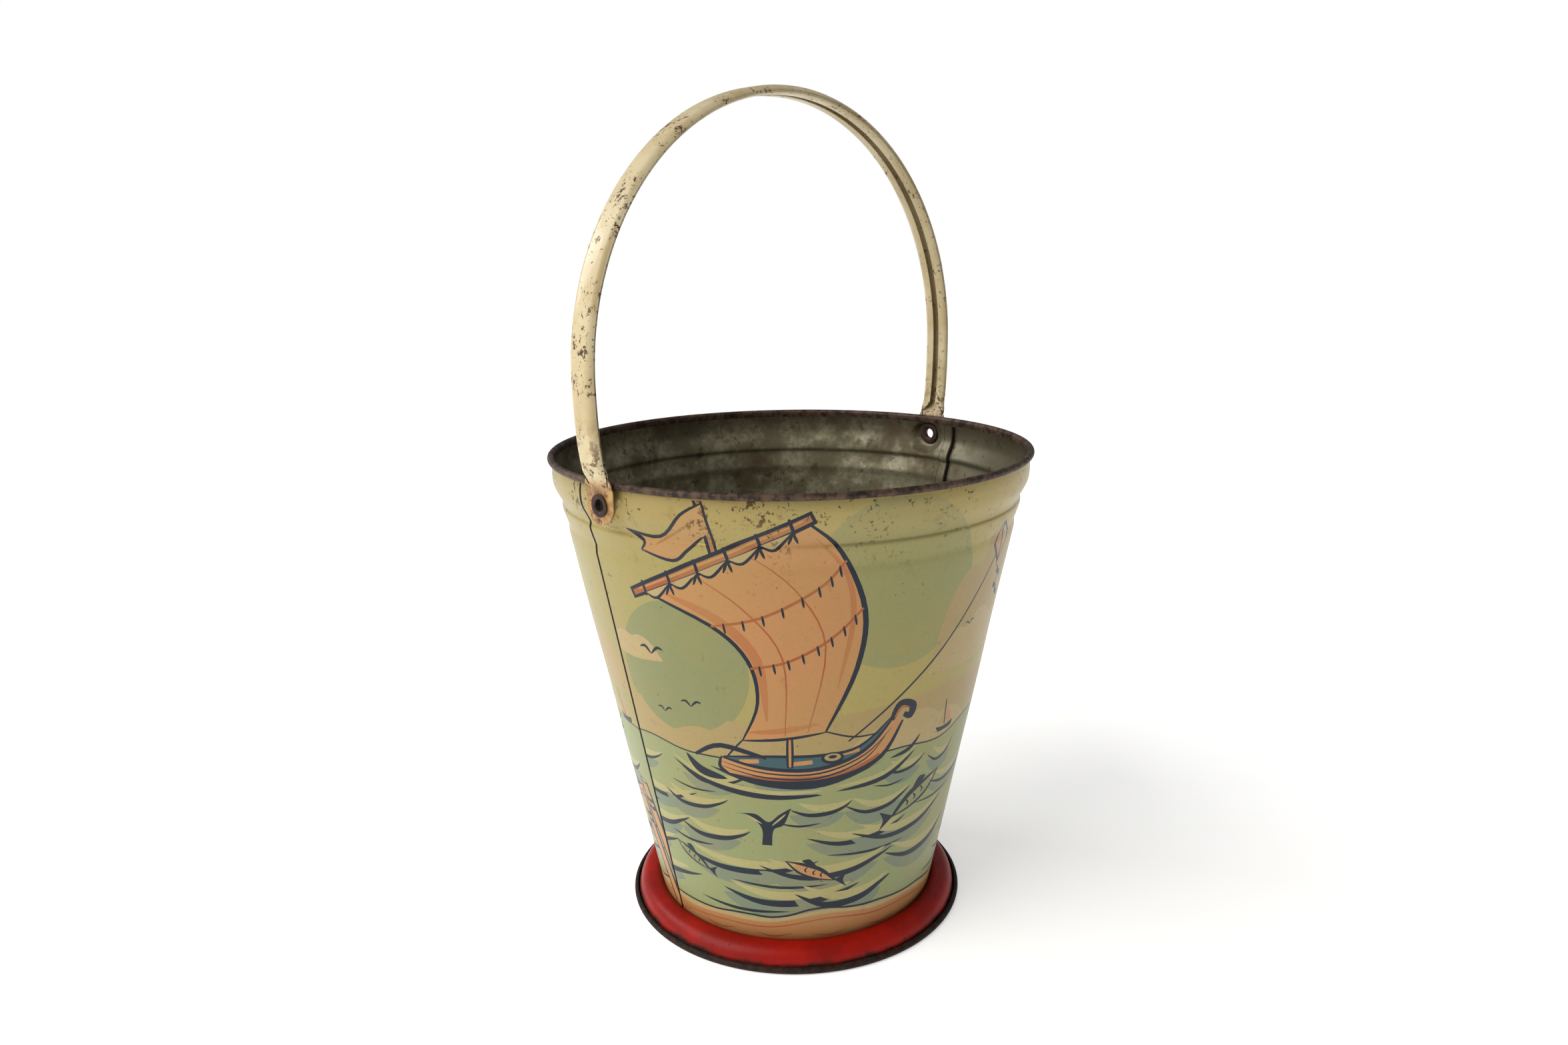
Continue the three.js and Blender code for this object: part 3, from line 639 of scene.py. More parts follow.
def cut_blank(areas):
    """Triangles of the blank, and the ink of each. areas holds (ink, outline on the drawing)."""
    edge = [(c, 0) for c in columns] + [(BLANK_WIDTH, r) for r in rows[1:]]
    edge += [(c, WALL_LENGTH) for c in columns[-2::-1]] + [(0, r) for r in rows[-2:0:-1]]
    outlines = [edge, ring_round_rivet(HOLE_RADIUS, 32)] + [outline for _, outline in areas]
    hole = 1
    area_inks = ["sky", "sky"] + [ink for ink, _ in areas]

    points = []
    loops = []
    for outline in outlines:
        loops.append(list(range(len(points), len(points) + len(outline))))
        points += [tuple(p) for p in outline]
    for radius in (3.4, 4.1, SEAT_RADIUS, 5.6, 6.5, 7.4, 8.3, SEAT_BASE):
        ring = ring_round_rivet(radius, 40)
        points += [tuple(p) for p in ring if p[1] < WALL_LENGTH - 0.4]
    centre = ring_round_rivet(0, 1)[0]
    for row in rows[1:-1]:
        net = np.stack([columns[1:-1], np.full(len(columns) - 2, row)], axis=-1)
        points += [tuple(p) for p in net if np.linalg.norm(p - centre) > SEAT_BASE + 0.6]

    made = delaunay_2d_cdt([Vector(p) for p in points], [], loops, 0, 1e-5, True)
    places = np.array([tuple(p) for p in made[0]])
    kept = [(face, ids) for face, ids in zip(made[2], made[5]) if 0 in ids and hole not in ids]
    used = sorted({v for face, _ in kept for v in face})
    renumbered = {old: new for new, old in enumerate(used)}
    faces = [tuple(renumbered[v] for v in face) for face, _ in kept]
    return places[used], faces, [area_inks[max(ids)] for _, ids in kept]


# %% [markdown]
# ### From the blank to the panel
# The printed face is carried to the cone first, and the bare face lies one sheet's thickness inside it.
# The folds and the rim roll are strips that hang on the blank's own edge points, so that the whole panel
# is one closed mesh with a real thickness everywhere.


# %% Helpers that make a piece from the two faces of a sheet
def sheet_piece(name, outer, inner, faces, finishes, inner_finishes, edge_finish):
    """One closed mesh between a sheet's two faces, with the shading normals of the smooth sheet."""
    count = len(outer)
    sides = {(a, b) for face in faces for a, b in zip(face, face[1:] + face[:1])}
    rim = [(b, a, count + a, count + b) for a, b in sides if (b, a) not in sides]
    rim.sort()
    polygons = faces + [tuple(count + v for v in reversed(face)) for face in faces] + rim
    mesh = bpy.data.meshes.new(name)
    mesh.from_pydata((np.vstack([outer, inner]) * METRES).tolist(), [], polygons)
    finish_of = finishes + inner_finishes + [edge_finish] * len(rim)
    palette = sorted(set(finish_of), key=lambda finish: finish.name)
    for finish in palette:
        mesh.materials.append(finish)
    slots = {finish: i for i, finish in enumerate(palette)}
    mesh.polygons.foreach_set("material_index", [slots[finish] for finish in finish_of])
    mesh.polygons.foreach_set("use_smooth", [True] * len(polygons))
    normal = outer - inner
    normal /= np.linalg.norm(normal, axis=1)[:, None]
    corner = np.vstack([normal, -normal])
    loops = [tuple(corner[v]) for face in polygons[: 2 * len(faces)] for v in face]
    loops += [(0, 0, 0)] * (4 * len(rim))
    mesh.normals_split_custom_set(loops)
    piece = bpy.data.objects.new(name, mesh)
    bpy.context.scene.collection.objects.link(piece)
    return piece


class Sheet:
    """The two faces of a sheet while strips are being added to it."""

    def __init__(self, outer, inner, faces, finishes, inner_finish):
        self.outer, self.inner = [np.array(outer)], [np.array(inner)]
        self.count = len(outer)
        self.faces, self.finishes = list(faces), list(finishes)
        self.inner_finishes = [inner_finish] * len(faces)

    def add_strip(self, chain, outer_rows, inner_rows, turned, finish, inner_finish, seen=()):
        """Rows of faces that carry on from a chain of points. turned says which way round they face.

        seen lists the rows that have a finish of their own on the inner face.
        """
        below = list(chain)
        seen = dict(seen)
        for row, (outer, inner) in enumerate(zip(outer_rows, inner_rows)):
            above = list(range(self.count, self.count + len(chain)))
            self.count += len(chain)
            self.outer.append(outer)
            self.inner.append(inner)
            for i in range(len(chain) - 1):
                face = (below[i], below[i + 1], above[i + 1], above[i])
                self.faces.append(face[::-1] if turned else face)
                self.finishes.append(finish)
                self.inner_finishes.append(seen.get(row, inner_finish))
            below = above

    def piece(self, name, edge_finish):
        sides = np.vstack(self.outer), np.vstack(self.inner)
        return sheet_piece(name, *sides, self.faces, self.finishes, self.inner_finishes, edge_finish)


# %% Make a panel from its printed areas
def wall_normal(angle, path):
    turn, rise = 0.003, 0.2
    along = rolled_place(angle + turn, path) - rolled_place(angle - turn, path)
    upward = rolled_place(angle, path + rise) - rolled_place(angle, path - rise)
    normal = np.cross(along, upward)
    return normal / np.linalg.norm(normal, axis=-1)[:, None]


def dented_face(angle, path, depth=0.0):
    normal = wall_normal(angle, path)
    dented = rolled_place(angle, path) + normal * (knocked(angle, path) - depth)[:, None]
    return dented


def make_panel(name, areas, spin):
    places, faces, area_inks = cut_blank(areas)
    across, path = places[:, 0], places[:, 1]
    angle = unflattened(across, path)
    depth = np.full(len(path), SHEET)
    outer, inner = dented_face(angle, path, depth * 0), dented_face(angle, path, depth)
    panel = Sheet(outer, inner, faces, [inks[ink] for ink in area_inks], tin_inside)

    def chain_where(chosen, order):
        picked = np.nonzero(chosen)[0]
        return picked[np.argsort(order[picked])]

    # The first edge is folded under once. The last edge drops below it and is folded up behind it.
    near, far = -SEAM_HALF_WIDTH, -SEAM_HALF_WIDTH - FIT_GAP
    reach = SEAM_HALF_WIDTH - SHEET - 0.2
    first = [(near + BEND, 0), (near, 0), (near, 2 * LAYER + SHEET), (reach, 2 * LAYER + SHEET)]
    hook = SEAM_HALF_WIDTH - SHEET
    last = [(far - BEND, 0), (far, 0), (far, 3 * LAYER), (hook, 3 * LAYER), (hook, LAYER + SHEET)]
    last.append((-reach, LAYER + SHEET))
    on_edge = 1e-4
    first_section = softened(first, (BEND, 0.45))
    last_section = softened(last, (BEND, 0.25, 0.25, 0.25))
    folds = [
        (across < on_edge, START_SEAM, first_section, -SHEET, False),
        (across > BLANK_WIDTH - on_edge, START_SEAM + math.pi, last_section, SHEET, True),
    ]
    for chosen, seam, section, thickness, turned in folds:
        chain = chain_where(chosen & (path > fold_path - on_edge), path)
        up = path[chain]
        inside = beside(section, thickness)
        sides = [
            [
                rolled_place(seam + along / wall_radius(up), up, np.full(len(up), deep))
                for along, deep in line[2:]
            ]
            for line in (section, inside)
        ]
        # The widest row of the last fold is the flat band that is seen inside the bucket.
        widest = int(np.argmax(np.linalg.norm(np.diff(section[1:], axis=0), axis=1)))
        band = [(widest, tin_inside)] if turned else []
        # The folds are finished near-black: grime, and painted shade in the creases.
        panel.add_strip(chain, *sides, turned, crease_grime_and_shade, crease_grime_and_shade, band)

    # The rim's roll goes up behind the wire, over it and down outside, so that its bare face shows.
    chain = chain_where(path > WALL_LENGTH - on_edge, across)
    curl = arc((ROLL_RADIUS, ROLL_HEIGHT), ROLL_INSIDE, 180, -math.degrees(ROLL_SWEEP), 18)
    notch_top = wall_profile[-1] + (-0.005, 0.03)
    line = np.vstack([wall_profile[-1:], notch_top, curl])
    turn = angle[chain]
    turn[0] -= BEND / RIM_RADIUS
    turn[-1] += BEND / RIM_RADIUS
    sides = [
        [np.stack([r * np.cos(turn), r * np.sin(turn), z + 0 * turn], axis=-1) for r, z in run[1:]]
        for run in (line, beside(line, SHEET))
    ]
    panel.add_strip(chain, *sides, False, inks["sky"], rim_rust)

    flip = np.array([spin, spin, 1])
    panel.outer = [side * flip for side in panel.outer]
    panel.inner = [side * flip for side in panel.inner]
    piece = panel.piece(name, rim_rust)
    print(name, len(piece.data.polygons), "faces")
    return piece


# %% [markdown]
# ## The printed picture
# The pail's decoration is a seaside scene in a few flat inks with dark brush lines. Each area is an
# outline in millimetres on the wall: x runs right from a meridian and z is the height above the floor.
# Areas are laid down in order, as the printer lays inks, so a later one covers an earlier one. Brush
# lines are thin areas too, fat in the middle and pointed at the ends.


# %% Brush, areas and where they go on the blank
BOLDNESS = 1.3


class Picture:
    """Printed areas, placed round a meridian of a panel whose rivet is at angle 0."""

    def __init__(self, meridian):
        self.meridian = math.radians(meridian)
        self.areas = []
        self.shift, self.size, self.mirror = (0, 0), 1.0, 1

    def placed(self, x, z, size=1.0, mirror=1):
        """Moves what is drawn next, so that one drawing can be used in several places."""
        self.shift, self.size, self.mirror = (x, z), size, mirror

    def area(self, ink, points):
        points = np.array(points, float)
        x = self.shift[0] + points[:, 0] * self.size * self.mirror
        z = self.shift[1] + points[:, 1] * self.size
        gaps = np.hypot(np.diff(np.append(x, x[0])), np.diff(np.append(z, z[0])))
        longest_edge = 2.5
        counts = np.maximum(1, np.ceil(gaps / longest_edge)).astype(int)
        ends = np.stack([np.roll(x, -1), np.roll(z, -1)], axis=-1)
        dense = [
            np.array(start) * (1 - t) + end * t
            for start, end, count in zip(zip(x, z), ends, counts)
            for t in np.arange(count) / count
        ]
        x, z = np.array(dense).T
        path = np.where(z > panel_low.z, path_at(z), z - panel_low.z)
        flat = flattened(self.meridian + x / wall_radius(path), path)
        before, after = flat, np.roll(flat, -1, axis=0)
        turning = np.sum(before[:, 0] * after[:, 1] - after[:, 0] * before[:, 1])
        self.areas.append((ink, flat if turning > 0 else flat[::-1]))

    def shape(self, ink, *runs):
        """An area whose edge is made of smooth runs that meet at corners."""
        self.area(ink, np.vstack([curve_through(run, steps=6)[:-1] for run in runs]))

    def disc(self, ink, x, z, across, up=None, count=56):
        around = 2 * math.pi * np.arange(count) / count
        self.area(ink, np.stack([x + across * np.cos(around), z + (up or across) * np.sin(around)], axis=-1))

    def brush(self, ink, points, width, blunt=0.15):
        """A brush line. blunt is how wide its ends are, as a share of the width in the middle."""
        width *= BOLDNESS if ink == "navy" else 1
        line = curve_through(points, steps=5)
        run = np.concatenate([[0], np.cumsum(np.linalg.norm(np.diff(line, axis=0), axis=1))])
        swell = blunt + (1 - blunt) * np.sin(math.pi * run / run[-1]) ** 0.7
        half = (width / 2 * swell)[:, None]
        left = line + (beside(line, 1) - line) * half
        right = line - (beside(line, 1) - line) * half
        self.area(ink, np.vstack([left, right[::-1]]))


def straight_edges(corners):
    """The runs of an outline with straight edges, for Picture.shape."""
    return [[a, b] for a, b in zip(corners, corners[1:] + corners[:1])]


# %% Drawings that both panels use
def draw_gull(picture, x, z, span):
    picture.placed(x, z, span / 10)
    picture.brush("navy", [(-5, 1.6), (-2.6, 2.3), (-0.2, 0)], 0.8)
    picture.brush("navy", [(-0.2, 0), (2.4, 2.6), (5, 2.0)], 0.8)
    picture.placed(0, 0)


def draw_far_boat(picture, x, z, size):
    picture.placed(x, z, size)
    mainsail = [(-3.4, 1.8), (-1.2, 5.5), (-0.4, 9.6)]
    picture.shape("haze", mainsail, [(-0.4, 9.6), (0.2, 5.2), (-0.3, 1.8)], [(-0.3, 1.8), (-3.4, 1.8)])
    jib = [(0.5, 1.8), (0.9, 5.0), (0.3, 8.6)]
    picture.shape("coral", jib, [(0.3, 8.6), (2.6, 5.0), (3.4, 1.8)], [(3.4, 1.8), (0.5, 1.8)])
    deck = [(-4.4, 1.3), (0, 0.7), (4.8, 1.6)]
    picture.shape("navy", deck, [(4.8, 1.6), (3.4, -0.6), (-3.2, -0.8)], [(-3.2, -0.8), (-4.4, 1.3)])
    picture.brush("navy", [(0.0, 1.0), (0.0, 10.4)], 0.45, 0.8)
    picture.placed(0, 0)


def draw_cloud(picture, ink, x, z, width, height, puffs):
    """A flat-bottomed bank of cloud, with a bumpy top edge."""
    start, end = x - width / 2, x + width / 2
    top = []
    for i in range(puffs * 4 + 1):
        share = i / (puffs * 4)
        dome = math.sin(math.pi * share) ** 0.6
        bump = 0.78 + 0.22 * abs(math.sin(math.pi * puffs * share))
        top.append((start + width * share, z + height * dome * bump))
    picture.shape(ink, top, [(end, z), (x, z - 1.6), (start, z)])


def draw_fish(picture, x, z, size, mirror, body="disc"):
    """A plain leaping fish: a lens of a body, a forked tail and a few scale lines."""
    picture.placed(x, z, size, mirror)
    back = [(-9, -5.2), (-3, 1.6), (4, 4.4), (11, 5.6)]
    picture.shape("navy", back, [(11, 5.6), (6, -0.4), (-1, -3.6), (-9, -5.2)])
    flank = [(-7, -4.4), (-2, 0.2), (4, 3.0), (10, 5.1)]
    picture.shape(body, flank, [(10, 5.1), (5.2, 0.2), (-1, -2.8), (-7, -4.4)])
    fork = [(-12.4, -2.2), (-11.2, -5.4), (-12.6, -8.8)]
    picture.shape("navy", [(-7.6, -4.6), (-12.4, -2.2)], fork, [(-12.6, -8.8), (-7.6, -4.6)])
    for along, rise in ((-3.4, -1.8), (-0.6, -0.6), (2.4, 0.9)):
        scale_line = [(along, rise + 1.5), (along + 1.0, rise + 0.2), (along + 0.3, rise - 1.2)]
        picture.brush("navy", scale_line, 0.5)
    picture.shape("navy", [(-1, 2.6), (1.6, 6.0), (4.6, 5.6)], [(4.6, 5.6), (3.2, 4.2), (-1, 2.6)])
    picture.disc("cloud", 7.6, 3.5, 0.75, count=14)
    picture.placed(0, 0)


def draw_sea(picture, left, right, top):
    """The sea: a green ground, deep and light bands, then rows of dark swelling brush lines."""
    ripple = [(x, top + 1.2 * math.sin(x / 11) + 0.7 * math.sin(x / 5.3)) for x in np.arange(left, right, 6)]
    below = [(right, -6), (left, -6)]
    picture.shape("sea", ripple, [ripple[-1], below[0]], below, [below[1], ripple[0]])
    picture.brush("navy", ripple, 0.5, 0.8)
    for row in range(5):
        z = top - 8.5 - row * 12.4
        count = 8 - row // 2
        for i in range(count):
            x = left + (right - left) * (i + 0.5 + 0.27 * math.sin(row * 1.3 + i * 2.9)) / count
            span = (11 + 3.2 * row) * (1 + 0.25 * math.sin(row * 2 + i * 1.3))
            dip = 1.8 + 0.4 * row + math.sin(i * 2 + row)
            trough = [(-1, 1.2), (-0.4, -dip), (0.3, -dip * 0.8), (0.8, 1.0), (1.06, 3.4)]
            lift = [(x + along * span, z + rise) for along, rise in trough]
            picture.brush("sea_deep", [(a, b - 2.6) for a, b in lift[:4]], 5.0 + row, 0.05)
            crest = [(a + 3, b + 2.5 + 0.3 * row) for a, b in lift[:4]]
            picture.brush("sea_light", crest, 2.6 + 0.3 * row, 0.05)
            picture.brush("navy", lift, 1.0 + 0.33 * row, 0.04)
            if (i + row) % 2:
                bow = ((-0.9, 1.4), (0, 0), (0.9, 0.9))
                echo = [(x - span * 0.7 + a * 0.8 * span, z - 4.6 - dip + b) for a, b in bow]
                picture.brush("navy", echo, 0.6 + 0.12 * row, 0.05)


def draw_tail(picture, x, z, size):
    """The forked tail of a fish that is diving."""
    picture.placed(x, z, size)
    fluke = [(-13, 5), (-7.5, 4.6), (-2.5, -1), (-2.5, -9)]
    other = [(1.5, -9), (2.2, -1.5), (6.2, 1.2), (9, 9)]
    notch = [(9, 9), (4.4, 5.8), (0.2, 2.2), (-5, 5.6), (-13, 5)]
    picture.shape("navy", fluke, [fluke[-1], other[0]], other, notch)
    for start, end in (((-8, 4.7), (-2.4, 1.2)), ((7, 6.2), (1.6, 0.6))):
        picture.brush("sea_light", [start, end], 0.8, 0.2)
    picture.placed(0, 0)


def draw_post(picture, x, low, high):
    """A mooring post."""
    post = [(x - 2.6, low), (x - 2.9, high), (x + 2.9, high), (x + 2.6, low)]
    picture.shape("coral", *straight_edges(post))
    picture.brush("navy", post[:2], 0.9, 0.8)
    picture.brush("navy", post[2:], 1.4, 0.8)
    picture.disc("navy", x, high, 3.2, 1.2, 20)
    picture.disc("haze", x, high + 0.1, 2.4, 0.7, 20)
    for drop in (7, 10):
        picture.brush("navy", [(x - 3, high - drop), (x, high - drop - 1), (x + 3, high - drop)], 1.2, 0.8)


def draw_beach(picture, left, right):
    """A band of wet sand along the bottom, with a line of foam over it."""
    along = np.arange(left, right, 7)
    shore = [(x, 15.5 + 2.2 * math.sin(x / 17 + 0.6) + 0.8 * math.sin(x / 6.1)) for x in along]
    bottom = [[(right, -6), (left, -6)], [(left, -6), shore[0]]]
    foam = [(x, z + 1.9) for x, z in shore]
    picture.shape("cloud", foam, [foam[-1], (right, -6)], *bottom[:1], [(left, -6), foam[0]])
    picture.shape("sand", shore, [shore[-1], (right, -6)], *bottom)
    picture.brush("navy", [(x, z + 2.6 + 0.5 * math.sin(x / 4)) for x, z in shore], 0.7, 0.6)
    picture.brush("coral_deep", [(x, z - 2.3) for x, z in shore[1:-1]], 0.6, 0.3)
    for x in np.arange(left + 8, right, 21):
        picture.brush("coral_deep", [(x - 7, 9.4), (x, 8.2), (x + 7, 9.9)], 0.6)


# %% [markdown]
# ### The two scenes
# One half shows a small boat that runs under a full square sail, with a pennant, a kite on a long
# line, gulls and leaping fish. The other half, which faces away, has a lighthouse on its rock and a
# smaller boat. Big pale discs, for a low sun and its glare, sit behind both.


# %% Draw the sailing boat
def draw_boat(picture):
    """A square-sailed boat. Its own origin is at the middle of the waterline."""
    dark = 0.95
    # Pennant and the top of the mast.
    picture.brush("navy", [(-30.6, 100), (-23.6, 74)], 2.6, 0.9)
    picture.brush("coral_deep", [(-30.2, 99), (-23.8, 75)], 1.3, 0.9)
    fly = [(-29, 97), (-36, 93), (-44, 84.5), (-58, 85.5)]
    hoist = [(-52, 79), (-40, 76.5), (-34, 81), (-26.8, 87.5)]
    picture.shape("coral", fly, [(-58, 85.5), (-50.5, 82.5), (-52, 79)], hoist, [(-26.8, 87.5), (-29, 97)])
    for run in (fly, [(-58, 85.5), (-50.5, 82.5), (-52, 79)], hoist):
        picture.brush("navy", run, dark, 0.4)
    picture.brush("coral_deep", [(-31, 92), (-38, 86.5), (-46, 81.5)], 1.1)

    # The sail: filled, then shaded along the belly, then its edges and the seams of its cloths.
    yard_left, yard_right = (-54, 64.5), (4, 92)
    luff = [yard_right, (15, 81), (23, 60), (20.5, 39), (10, 15.5)]
    foot = [(10, 15.5), (-4, 13.2), (-18, 12)]
    leech = [(-18, 12), (-12.5, 27), (-15.5, 43), (-28, 55), yard_left]
    picture.shape("coral", luff, foot, leech, [yard_left, yard_right])
    picture.brush("coral_mid", [(-44, 64.5), (-25, 57), (-12.4, 43), (-9.5, 20)], 3.6)
    picture.brush("coral_mid", [(7, 86), (16.5, 74), (19, 57), (14, 32)], 2.0)
    picture.brush("coral_mid", [(-16, 15.4), (-4, 16.6), (8, 19)], 2.2)
    for run, width in ((luff, 1.5), (foot, 0.9), (leech, 1.1)):
        picture.brush("navy", run, width, 0.35)
    # Two seams between its cloths, and two reef bands with their short ties.
    picture.brush("coral_deep", [(-34, 73), (-17, 62), (-4, 44), (-3.5, 14.5)], 0.6, 0.5)
    picture.brush("coral_deep", [(-16, 81.5), (0, 69), (10, 48), (4, 15.5)], 0.6, 0.5)
    reefs = [(-27.4, 54.6), (-10, 59), (8, 69), (16.6, 78)], [(-14.6, 40), (-2, 43), (12, 51), (22.4, 61)]
    for reef in reefs:
        picture.brush("coral_deep", reef, 1.0, 0.8)
        for x, z in curve_through(reef, steps=3)[1:-1]:
            picture.brush("navy", [(x - 0.3, z + 0.6), (x + 0.4, z - 3.2)], 0.65, 0.4)

    # The yard with its lashings, and the loose scallops of sail below it.
    picture.brush("navy", [(-58.5, 62.0), (6.5, 93.4)], 4.4, 0.75)
    picture.brush("coral_deep", [(-57.5, 62.4), (5.5, 93.0)], 2.7, 0.75)
    picture.brush("coral", [(-55, 64.2), (3, 92.2)], 0.9, 0.6)
    for share in (0.1, 0.26, 0.42, 0.58, 0.74, 0.9):
        x, z = -58.5 + 65 * share, 62.0 + 31.4 * share
        picture.brush("navy", [(x - 1.4, z + 2.6), (x + 0.4, z - 2.8)], 0.9, 0.7)
    for share in (0.18, 0.34, 0.5, 0.66, 0.82):
        x, z = -58.5 + 65 * share, 62.0 + 31.4 * share
        scallop = [(x - 5.2, z - 4.2), (x - 0.4, z - 5.4), (x + 5.0, z + 0.6)]
        picture.shape("cloud", scallop, [(x + 5.0, z + 0.6), (x - 5.2, z - 4.2)])
        picture.brush("navy", scallop, 0.8, 0.3)
        picture.brush("navy", [(x + 5, z + 0.4), (x + 6.6, z - 3.4)], 0.8, 0.3)
        picture.brush("navy", [(x + 5, z + 0.4), (x + 3.6, z - 3.8)], 0.8, 0.3)

    # The hull, its planks and the curl of its prow, with a dark reflection and a bow wave under it.
    left_wash = [(-46, -1), (-32, -7), (-10, -10.5), (12, -9.5)]
    right_wash = [(14, -9), (32, -6.5), (45, 1.5)]
    for wash, width in ((left_wash, 1.7), (right_wash, 1.5)):
        picture.brush("sea_light", [(x, z + 1.8) for x, z in wash], 2.0)
        picture.brush("navy", wash, width, 0.05)
    picture.brush("navy", [(-40, 3.0), (-34, -2.6), (-24, -4.4)], 2.6, 0.05)
    picture.brush("navy", [(34, 0.8), (42, 2.6), (47, 7.5)], 1.3, 0.05)
    reflection = [(-31, 0), (-12, -6), (10, -6.5), (34, 2)]
    picture.shape("navy", reflection, [(34, 2), (18, -3), (-6, -3.4), (-31, 0)])
    sheer = [(-26, 4.5), (-10, 1.2), (8, 1.0), (24, 6.5), (35, 18)]
    keel = [(38.5, 15.5), (30, 2.5), (14, -3.6), (-6, -4.6), (-23, -2.2)]
    stern = [(-23, -2.2), (-26.5, 0.4), (-26, 4.5)]
    inside = [(-25, 4.8), (-10, 6.2), (8, 6.4), (22, 8.4), (34, 18)]
    picture.shape("teal_line", inside, sheer[::-1])
    for x, z, width in ((-16, 3.6, 3.4), (2, 3.4, 3.6), (19, 6.6, 3.0)):
        picture.brush("coral", [(x - width, z - 0.2), (x + width, z + 0.5)], 1.7, 0.9)
    picture.shape("coral", sheer, [(35, 18), (38.5, 15.5)], keel, stern)
    picture.shape("coral_deep", [(-23, -1.8), (-4, -2.2), (16, -1.0), (31, 5)], keel[1:])
    for run, width in ((inside, 0.9), (sheer, 1.2), (keel, 1.6), (stern, 1.0)):
        picture.brush("navy", run, width, 0.4)
    for drop in (1.9, 3.7):
        plank = [(x, z - drop) for x, z in sheer[:-1]] + [(36 - drop, 15.5 - drop)]
        picture.brush("navy", plank, 0.55)
    picture.brush("navy", [(34, 16.5), (37.5, 22), (42.5, 20.5), (41.5, 16.8), (38.8, 18)], 2.6, 0.5)
    picture.brush("coral_deep", [(35, 17), (38, 20.8), (41.4, 19.8)], 1.1)
    # Rudder oar, a thwart, a coil of rope and the two sheets of the sail.
    picture.brush("navy", [(-10, 5.5), (-26, 9.0), (-36, 3.6)], 1.5, 0.6)
    picture.brush("navy", [(-2, 1.6), (-2, 14)], 2.0, 0.8)
    picture.brush("coral", [(-2, 2), (-2, 13)], 0.9, 0.8)
    picture.disc("navy", 12.5, 5.0, 4.0, 2.4, 24)
    picture.disc("haze", 12.5, 5.3, 2.9, 1.5, 20)
    picture.disc("navy", 12.5, 5.5, 1.5, 0.7, 16)
    picture.brush("navy", [(10, 15.8), (20, 12.5), (29, 12.5)], 0.55, 0.7)
    picture.brush("navy", [(-18, 12.2), (-21, 8.5), (-24, 4.5)], 0.55, 0.7)


def draw_kite(picture, hand, kite):
    """A small diamond kite on a long line."""
    (x0, z0), (x, z) = hand, kite
    picture.brush("navy", [hand, ((x0 + x) / 2 + 2, (z0 + z) / 2 - 1.5), kite], 0.6, 0.8)
    frame_of_kite = [(x - 7, z + 0.8), (x + 1.2, z + 8.6), (x + 7.4, z + 3.4), (x - 1.5, z - 7.8)]
    picture.shape("navy", *straight_edges(frame_of_kite))
    left_cloth = [(x - 5.6, z + 0.9), (x + 0.9, z + 7.0), (x - 1.1, z - 5.6)]
    picture.shape("coral", *straight_edges(left_cloth))
    right_cloth = [(x + 1.9, z + 6.6), (x + 6.1, z + 3.1), (x - 0.3, z - 5.3)]
    picture.shape("cloud", *straight_edges(right_cloth))
    picture.brush("navy", [(x - 1.5, z - 8), (x + 3, z - 12.5), (x + 0.5, z - 17), (x + 5, z - 21)], 0.6, 0.6)
    for bow, drop in ((2.4, 12), (1.0, 17.4), (4.6, 20.8)):
        picture.brush("navy", [(x + bow - 2.4, z - drop + 1.4), (x + bow + 2.4, z - drop - 1.2)], 1.6, 0.9)


FRONT_MERIDIAN = 43
SEA_LEVEL = 85
front = Picture(FRONT_MERIDIAN)
front.disc("disc", -41, 117, 26)
front.disc("disc", 36, 149, 31)
front.disc("far_disc", 37, 150, 27.5)
far_haze = [(-80, 82), (182, 82), (182, 104), (120, 101), (60, 106), (20, 103), (-20, 100), (-80, 103)]
front.area("haze", far_haze)
front.disc("disc", -41, 117, 24.5)
draw_cloud(front, "haze", 98, 119, 96, 46, 4)
draw_cloud(front, "cloud", 78, 112, 60, 19, 3)
draw_cloud(front, "haze", -34, 84, 66, 12, 3)
draw_cloud(front, "cloud", 46, 84, 62, 15, 3)
draw_cloud(front, "haze", 139, 88, 56, 30, 3)
draw_cloud(front, "cloud", -62, 119, 30, 9, 2)
draw_sea(front, -80, 182, SEA_LEVEL)
for x, size in ((60, 1.15), (126, 0.9), (149, 1.3)):
    draw_far_boat(front, x, SEA_LEVEL + 1.5, size)
front_gulls = [(-48, 99, 7), (-36.5, 103.5, 8.5), (-52, 121, 11)]
front_gulls += [(112, 140, 11), (127, 148, 8), (70, 126, 6)]
for x, z, span in front_gulls:
    draw_gull(front, x, z, span)
front.placed(0, 81)
draw_boat(front)
front.placed(0, 0)
draw_kite(front, (18, 92), (88, 153))
draw_fish(front, 46, 62, 1.25, 1)
draw_fish(front, 6, 38, 0.95, -1, "coral")
draw_tail(front, -10, 58, 0.9)
draw_fish(front, -40, 38, 0.8, -1)
draw_fish(front, 108, 58, 1.15, -1, "coral")
draw_beach(front, -80, 182)
print(len(front.areas), "printed areas on the front panel")


